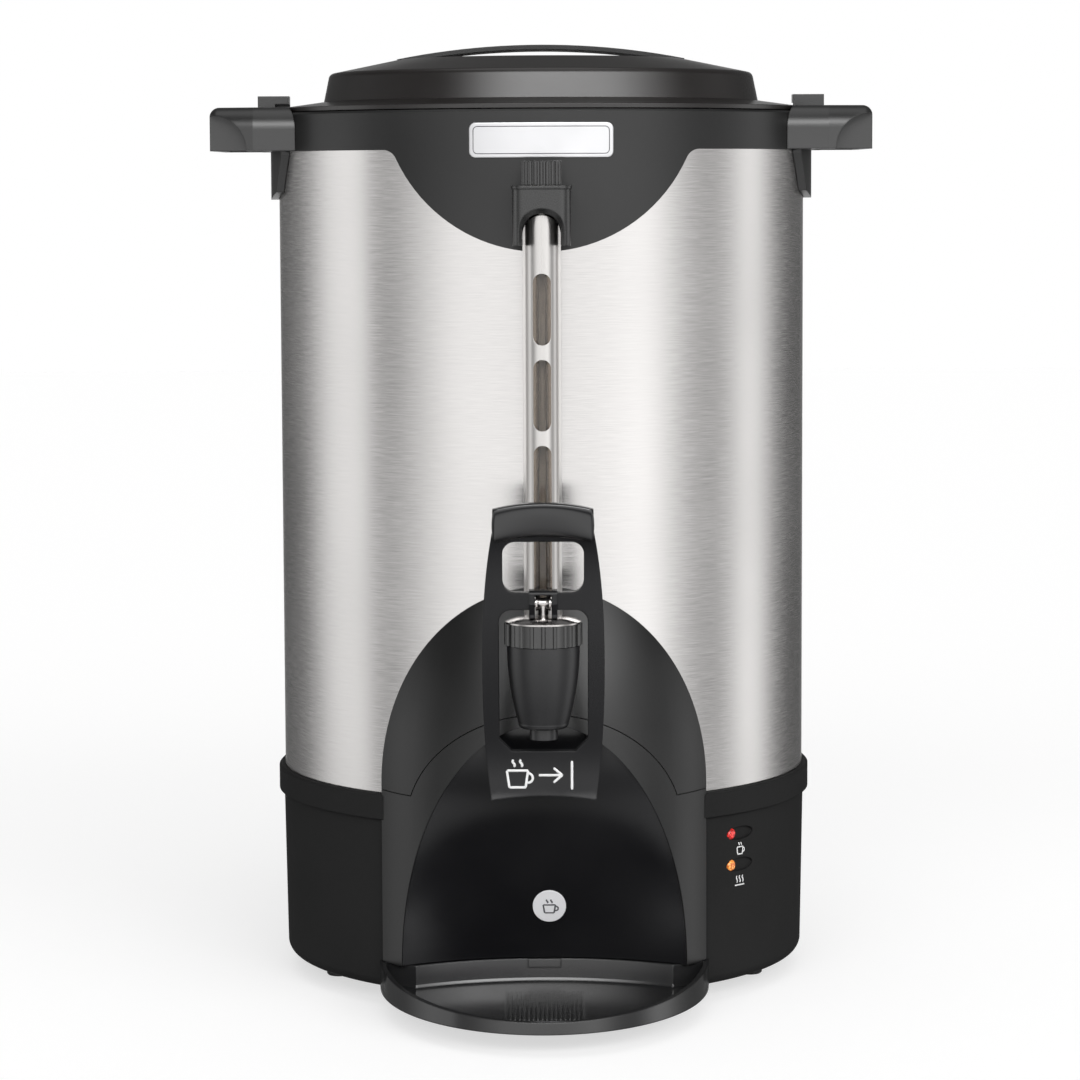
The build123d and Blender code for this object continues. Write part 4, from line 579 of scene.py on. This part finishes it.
def arc(centre, radius, start, stop, points=24):
    """Points on a circle between two angles in degrees."""
    turn = np.radians(np.linspace(start, stop, points))
    return np.asarray(centre) + np.stack([radius * np.cos(turn), radius * np.sin(turn)], axis=-1)


def wave(foot, height, swing):
    """A wavy line that rises from its foot: one turn of a sine."""
    up = np.linspace(0.0, 1.0, 24)
    return np.asarray(foot) + np.stack([swing * np.sin(2 * math.pi * up), height * up], axis=-1)


def cup_paths(middle, size):
    """A cup with a tapered bowl, an ear and two wisps of steam, all as shares of the given size."""
    x, y = middle
    bowl = [(-0.42, 0.12), (-0.34, -0.42), (0.18, -0.42), (0.26, 0.12), (-0.42, 0.12)]
    ear = arc((x + 0.26 * size, y - 0.12 * size), 0.15 * size, -100, 100)
    steam = [wave((x + shift * size, y + 0.24 * size), 0.24 * size, 0.035 * size) for shift in (-0.2, 0.04)]
    return [np.array(bowl) * size + middle, ear, *steam]


# ------------------------------------------------------------------ added pieces, sizes in millimetres


def add_lever_roll():
    """The roll along the lever's head: an ellipse, flatter at the back, carried across with round ends."""
    half_width, end = 24.3, 1.8
    half_height, swell, root = 8.3, 3.0, 1.0
    start = end * (1 - np.cos(np.linspace(0.0, 0.5 * math.pi, 9))) - half_width
    across = np.concatenate([start, np.linspace(start[-1], -start[-1], 40)[1:-1], -start[::-1]])
    size = np.sqrt(1 - ((np.abs(across) - half_width + end).clip(0.0, end) / end) ** 2)[:, None]
    turn = np.linspace(0.0, 2 * math.pi, 64, endpoint=False)
    up = size * half_height * np.cos(turn)
    rise = size * np.where(np.sin(turn) > 0, swell, root) * np.sin(turn)
    corners = on_lever_head(np.broadcast_to(across[:, None], up.shape), up, rise)
    add_piece("lever_roll", corners, ring_quads(len(across), len(turn)), "roll_black", "lever")


def add_name_plate():
    """A blank silver plate on the collar, with a fine printed border inside its edge."""
    seat_radius, middle_height = 137.5, 432.0
    width, height, corner = 70.4, 16.9, 3.0
    thickness, crown, edge = 0.9, 0.0, 0.35
    margin, border_corner, line_width, ink = 1.9, 2.0, 0.4, 0.03
    overlap = 4
    outline = rounded_box(width, height, corner)
    on_collar = on_drum(seat_radius, middle_height)
    plaque("name_plate", outline, thickness, crown, edge, on_collar, "plate_silver", "root")
    border = rounded_box(width - 2 * margin, height - 2 * margin, border_corner)
    closed = np.concatenate([border, border[:overlap]])
    on_plate = on_drum(seat_radius + thickness, middle_height)
    print_mark("name_plate_border", [closed], line_width, on_plate, "grey_ink", "root", ink)


def add_lever_sign():
    """A cup, an arrow and a line that it points at, on the lever's lower panel."""
    cup_middle, cup_size, line_width = (-11.5, 0.5), 15.0, 1.2
    shaft = [(-2.5, 0.0), (8.5, 0.0)]
    head = [(4.6, 3.6), (8.8, 0.0), (4.6, -3.6)]
    line = [(13.5, -7.0), (13.5, 7.0)]
    paths = [*cup_paths(cup_middle, cup_size), shaft, head, line]
    print_mark("lever_sign", paths, line_width, on_lever, "white_ink", "lever")


def add_panel_label():
    """A pale oval label with a small cup, low on the splash panel and just right of its middle."""
    radius, stretch, shift = 8.3, 1.16, 2.5
    thickness, crown, edge = 0.25, 0.1, 0.15
    cup_middle, cup_size, line_width, ink = (3.2, -0.2), 9.0, 0.8, 0.42

    def beside_middle(across, up, rise):
        return on_splash(across + shift, up, rise)

    outline = arc((0.0, 0.0), radius, 0, 360, 65)[:-1] * (1.0, stretch)
    plaque("panel_label", outline, thickness, crown, edge, beside_middle, "label_white", "root")
    cup = cup_paths(cup_middle, cup_size)
    print_mark("panel_label_sign", cup, line_width, on_splash, "grey_ink", "root", ink)


def add_lamp_signs():
    """Signs beside the lamps: a cup for ready to brew, and three waves over a line for keeping warm."""
    line_width = 0.7
    beside_brew, beside_warm = on_base(136.31, 77.0), on_base(136.03, 60.8)
    cup_middle, cup_size = (0.4, 0.0), 6.8
    print_mark("brew_sign", cup_paths(cup_middle, cup_size), line_width, beside_brew, "white_ink", "root")
    warmth = [wave((shift, -1.2), 3.6, 0.4) for shift in (-2.2, 0.0, 2.2)]
    hob = [(-3.6, -2.4), (3.6, -2.4)]
    print_mark("warm_sign", [*warmth, hob], line_width, beside_warm, "white_ink", "root")


def add_gauge_stripe():
    """The stripe inside the gauge glass, on the back of its bore: white, with a black line on it."""
    glass_wall, clearance, end_margin = 1.5, 0.15, 4.0
    stripe_width, stripe_face = 3.6, -0.15
    line_width, line_face = 1.1, -0.35
    low, high = [np.array(corner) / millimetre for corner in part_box("gauge_tube")]
    middle, half = (low + high) / 2, (high - low) / 2
    bore = half[0] - glass_wall - clearance
    in_bore = on_drum(bore, middle[2], bearing=180.0, axis=middle[1])
    run = [(0.0, end_margin - half[2]), (0.0, half[2] - end_margin)]
    print_mark("gauge_stripe", [run], stripe_width, in_bore, "stripe_white", "root", stripe_face)
    print_mark("gauge_line", [run], line_width, in_bore, "stripe_black", "root", line_face)


def add_spring():
    """A smooth-shaded copy of the stem's spring that stands in for it, riding on the root."""
    mesh = nodes["stem_spring"].data.copy()
    weld(mesh, rebuild=False)
    if "custom_normal" in mesh.attributes:
        mesh.attributes.remove(mesh.attributes["custom_normal"])
    mesh.shade_smooth()
    piece = new_object("spring_coil", mesh)
    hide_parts("stem_spring")
    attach(piece, "root")
    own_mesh(piece)


add_lever_roll()
add_name_plate()
add_lever_sign()
add_panel_label()
add_lamp_signs()
add_gauge_stripe()
add_spring()


# ------------------------------------------------------------------ camera and studio

frame_pixels = 1080
focal_pixels = 3673
sensor_width = 36.0
camera_place = (-0.0014, -1.921, 0.414)
camera_pitch = math.radians(5.64)
camera_roll = math.radians(-0.24)
camera_reach = 50.0

floor_reach = 6.0
floor_grey = 0.50
floor_glow = 0.62

# Soft boxes round the set. Each has two profiles: its strength at bearings in degrees, 0 at the camera
# and plus to its right, and the share of that strength at elevations in degrees.
soft_boxes = {
    "key_over_camera": (
        ((-48, 0.0), (-14, 7.0), (32, 7.0), (78, 0.0)),
        ((11, 0.0), (22, 1.0), (30, 1.0), (42, 0.0)),
    ),
    "diffusers_round_front": (
        (
            (-84, 0.0), (-82, 0.2), (-76, 0.28), (-66, 0.33), (-52, 0.8), (-38, 1.25), (-24, 1.25),
            (0, 1.15), (20, 1.2), (34, 1.35), (46, 1.65), (56, 1.0), (68, 0.40), (83, 0.33), (92, 0.85),
            (101, 1.4), (110, 1.0), (121, 0.25), (134, 0.0), (158, 0.0),
        ),
        ((-40, 0.0), (-20, 0.7), (-8, 1.0), (3, 1.0), (15, 0.0)),
    ),
    "left_strip_with_sharp_edge": (
        ((-150, 0.0), (-128, 0.1), (-118, 0.45), (-104, 1.15), (-82, 1.35), (-80, 0.0)),
        ((-32, 0.0), (-6, 0.9), (3, 1.0), (15, 0.0)),
    ),
    "backdrop": (
        ((-176, 1.0), (-166, 0.0), (166, 0.0), (176, 1.0)),
        ((-40, 0.0), (-28, 1.0), (2, 1.0), (14, 0.0)),
    ),
    "ceiling": (
        ((-180, 0.8), (180, 0.8)),
        ((56, 0.0), (68, 1.0)),
    ),
    "pale_floor_in_front": (
        ((-110, 0.0), (-60, 0.8), (60, 0.8), (110, 0.0)),
        ((-84, 0.1), (-66, 1.0), (-52, 1.0), (-42, 0.0)),
    ),
}
room_light = 0.12
white = (1.0, 1.0, 1.0)


def add_camera():
    """A long lens in front of the urn, looking slightly down."""
    lens = bpy.data.cameras.new("camera")
    lens.sensor_width = sensor_width
    lens.lens = sensor_width * focal_pixels / frame_pixels
    lens.clip_end = camera_reach
    camera = new_object("camera", lens)
    aim = Matrix.Rotation(math.pi / 2 - camera_pitch, 4, "X") @ Matrix.Rotation(camera_roll, 4, "Z")
    camera.matrix_world = Matrix.Translation(camera_place) @ aim
    bpy.context.scene.camera = camera


def light_world():
    """White behind the urn; soft boxes and a dim room round it for everything that it reflects."""
    world = bpy.data.worlds.new("studio")
    world.use_nodes = True
    bpy.context.scene.world = world
    graph = Graph(world.node_tree)
    x, y, z = graph.split(graph.add("ShaderNodeTexCoord", out="Generated"))
    bearing = x.math("ARCTAN2", y * -1.0) * math.degrees(1.0)
    elevation = z.math("ARCSINE") * math.degrees(1.0)
    panels = {
        name: graph.profile(bearing, 180, strengths) * graph.profile(elevation, 90, shares)
        for name, (strengths, shares) in soft_boxes.items()
    }
    light = sum(panels.values(), room_light)
    rays = ("Is Camera Ray", "Is Glossy Ray", "Is Transmission Ray")
    camera, glossy, through = [graph.add("ShaderNodeLightPath", out=ray) for ray in rays]
    behind = graph.add("ShaderNodeBackground", sockets={"Color": white, "Strength": 1.0})
    around = graph.add("ShaderNodeBackground", sockets={"Color": white, "Strength": light})
    share = camera + (glossy + through) * panels["backdrop"]
    seen = graph.add("ShaderNodeMixShader", sockets={0: share, 1: around, 2: behind})
    graph.add("ShaderNodeOutputWorld", sockets={"Surface": seen})


def add_floor():
    """A wide pale floor that keeps the urn's soft shadow and runs out into white."""
    made, graph = material("floor_white")
    seen = graph.add("ShaderNodeLightPath", out="Is Camera Ray")
    dust = graph.noise(graph.place(), scale=60.0, detail=3.0)
    paint = graph.tint(dust, *greys(floor_grey - 0.01, floor_grey))
    diffuse = graph.add("ShaderNodeBsdfDiffuse", sockets={"Color": paint})
    glow = graph.add("ShaderNodeEmission", sockets={"Color": white, "Strength": seen * floor_glow})
    both = graph.add("ShaderNodeAddShader", sockets={0: diffuse, 1: glow})
    graph.add("ShaderNodeOutputMaterial", sockets={"Surface": both})
    corners = np.array([(-1, -1, 0), (1, -1, 0), (1, 1, 0), (-1, 1, 0)]) * floor_reach
    mesh = bpy.data.meshes.new("floor")
    mesh.from_pydata(corners.tolist(), [], [(0, 1, 2, 3)])
    mesh.materials.append(made)
    floor = new_object("floor", mesh)
    floor.visible_glossy = False


add_camera()
light_world()
add_floor()
bpy.context.scene.view_settings.view_transform = "Standard"
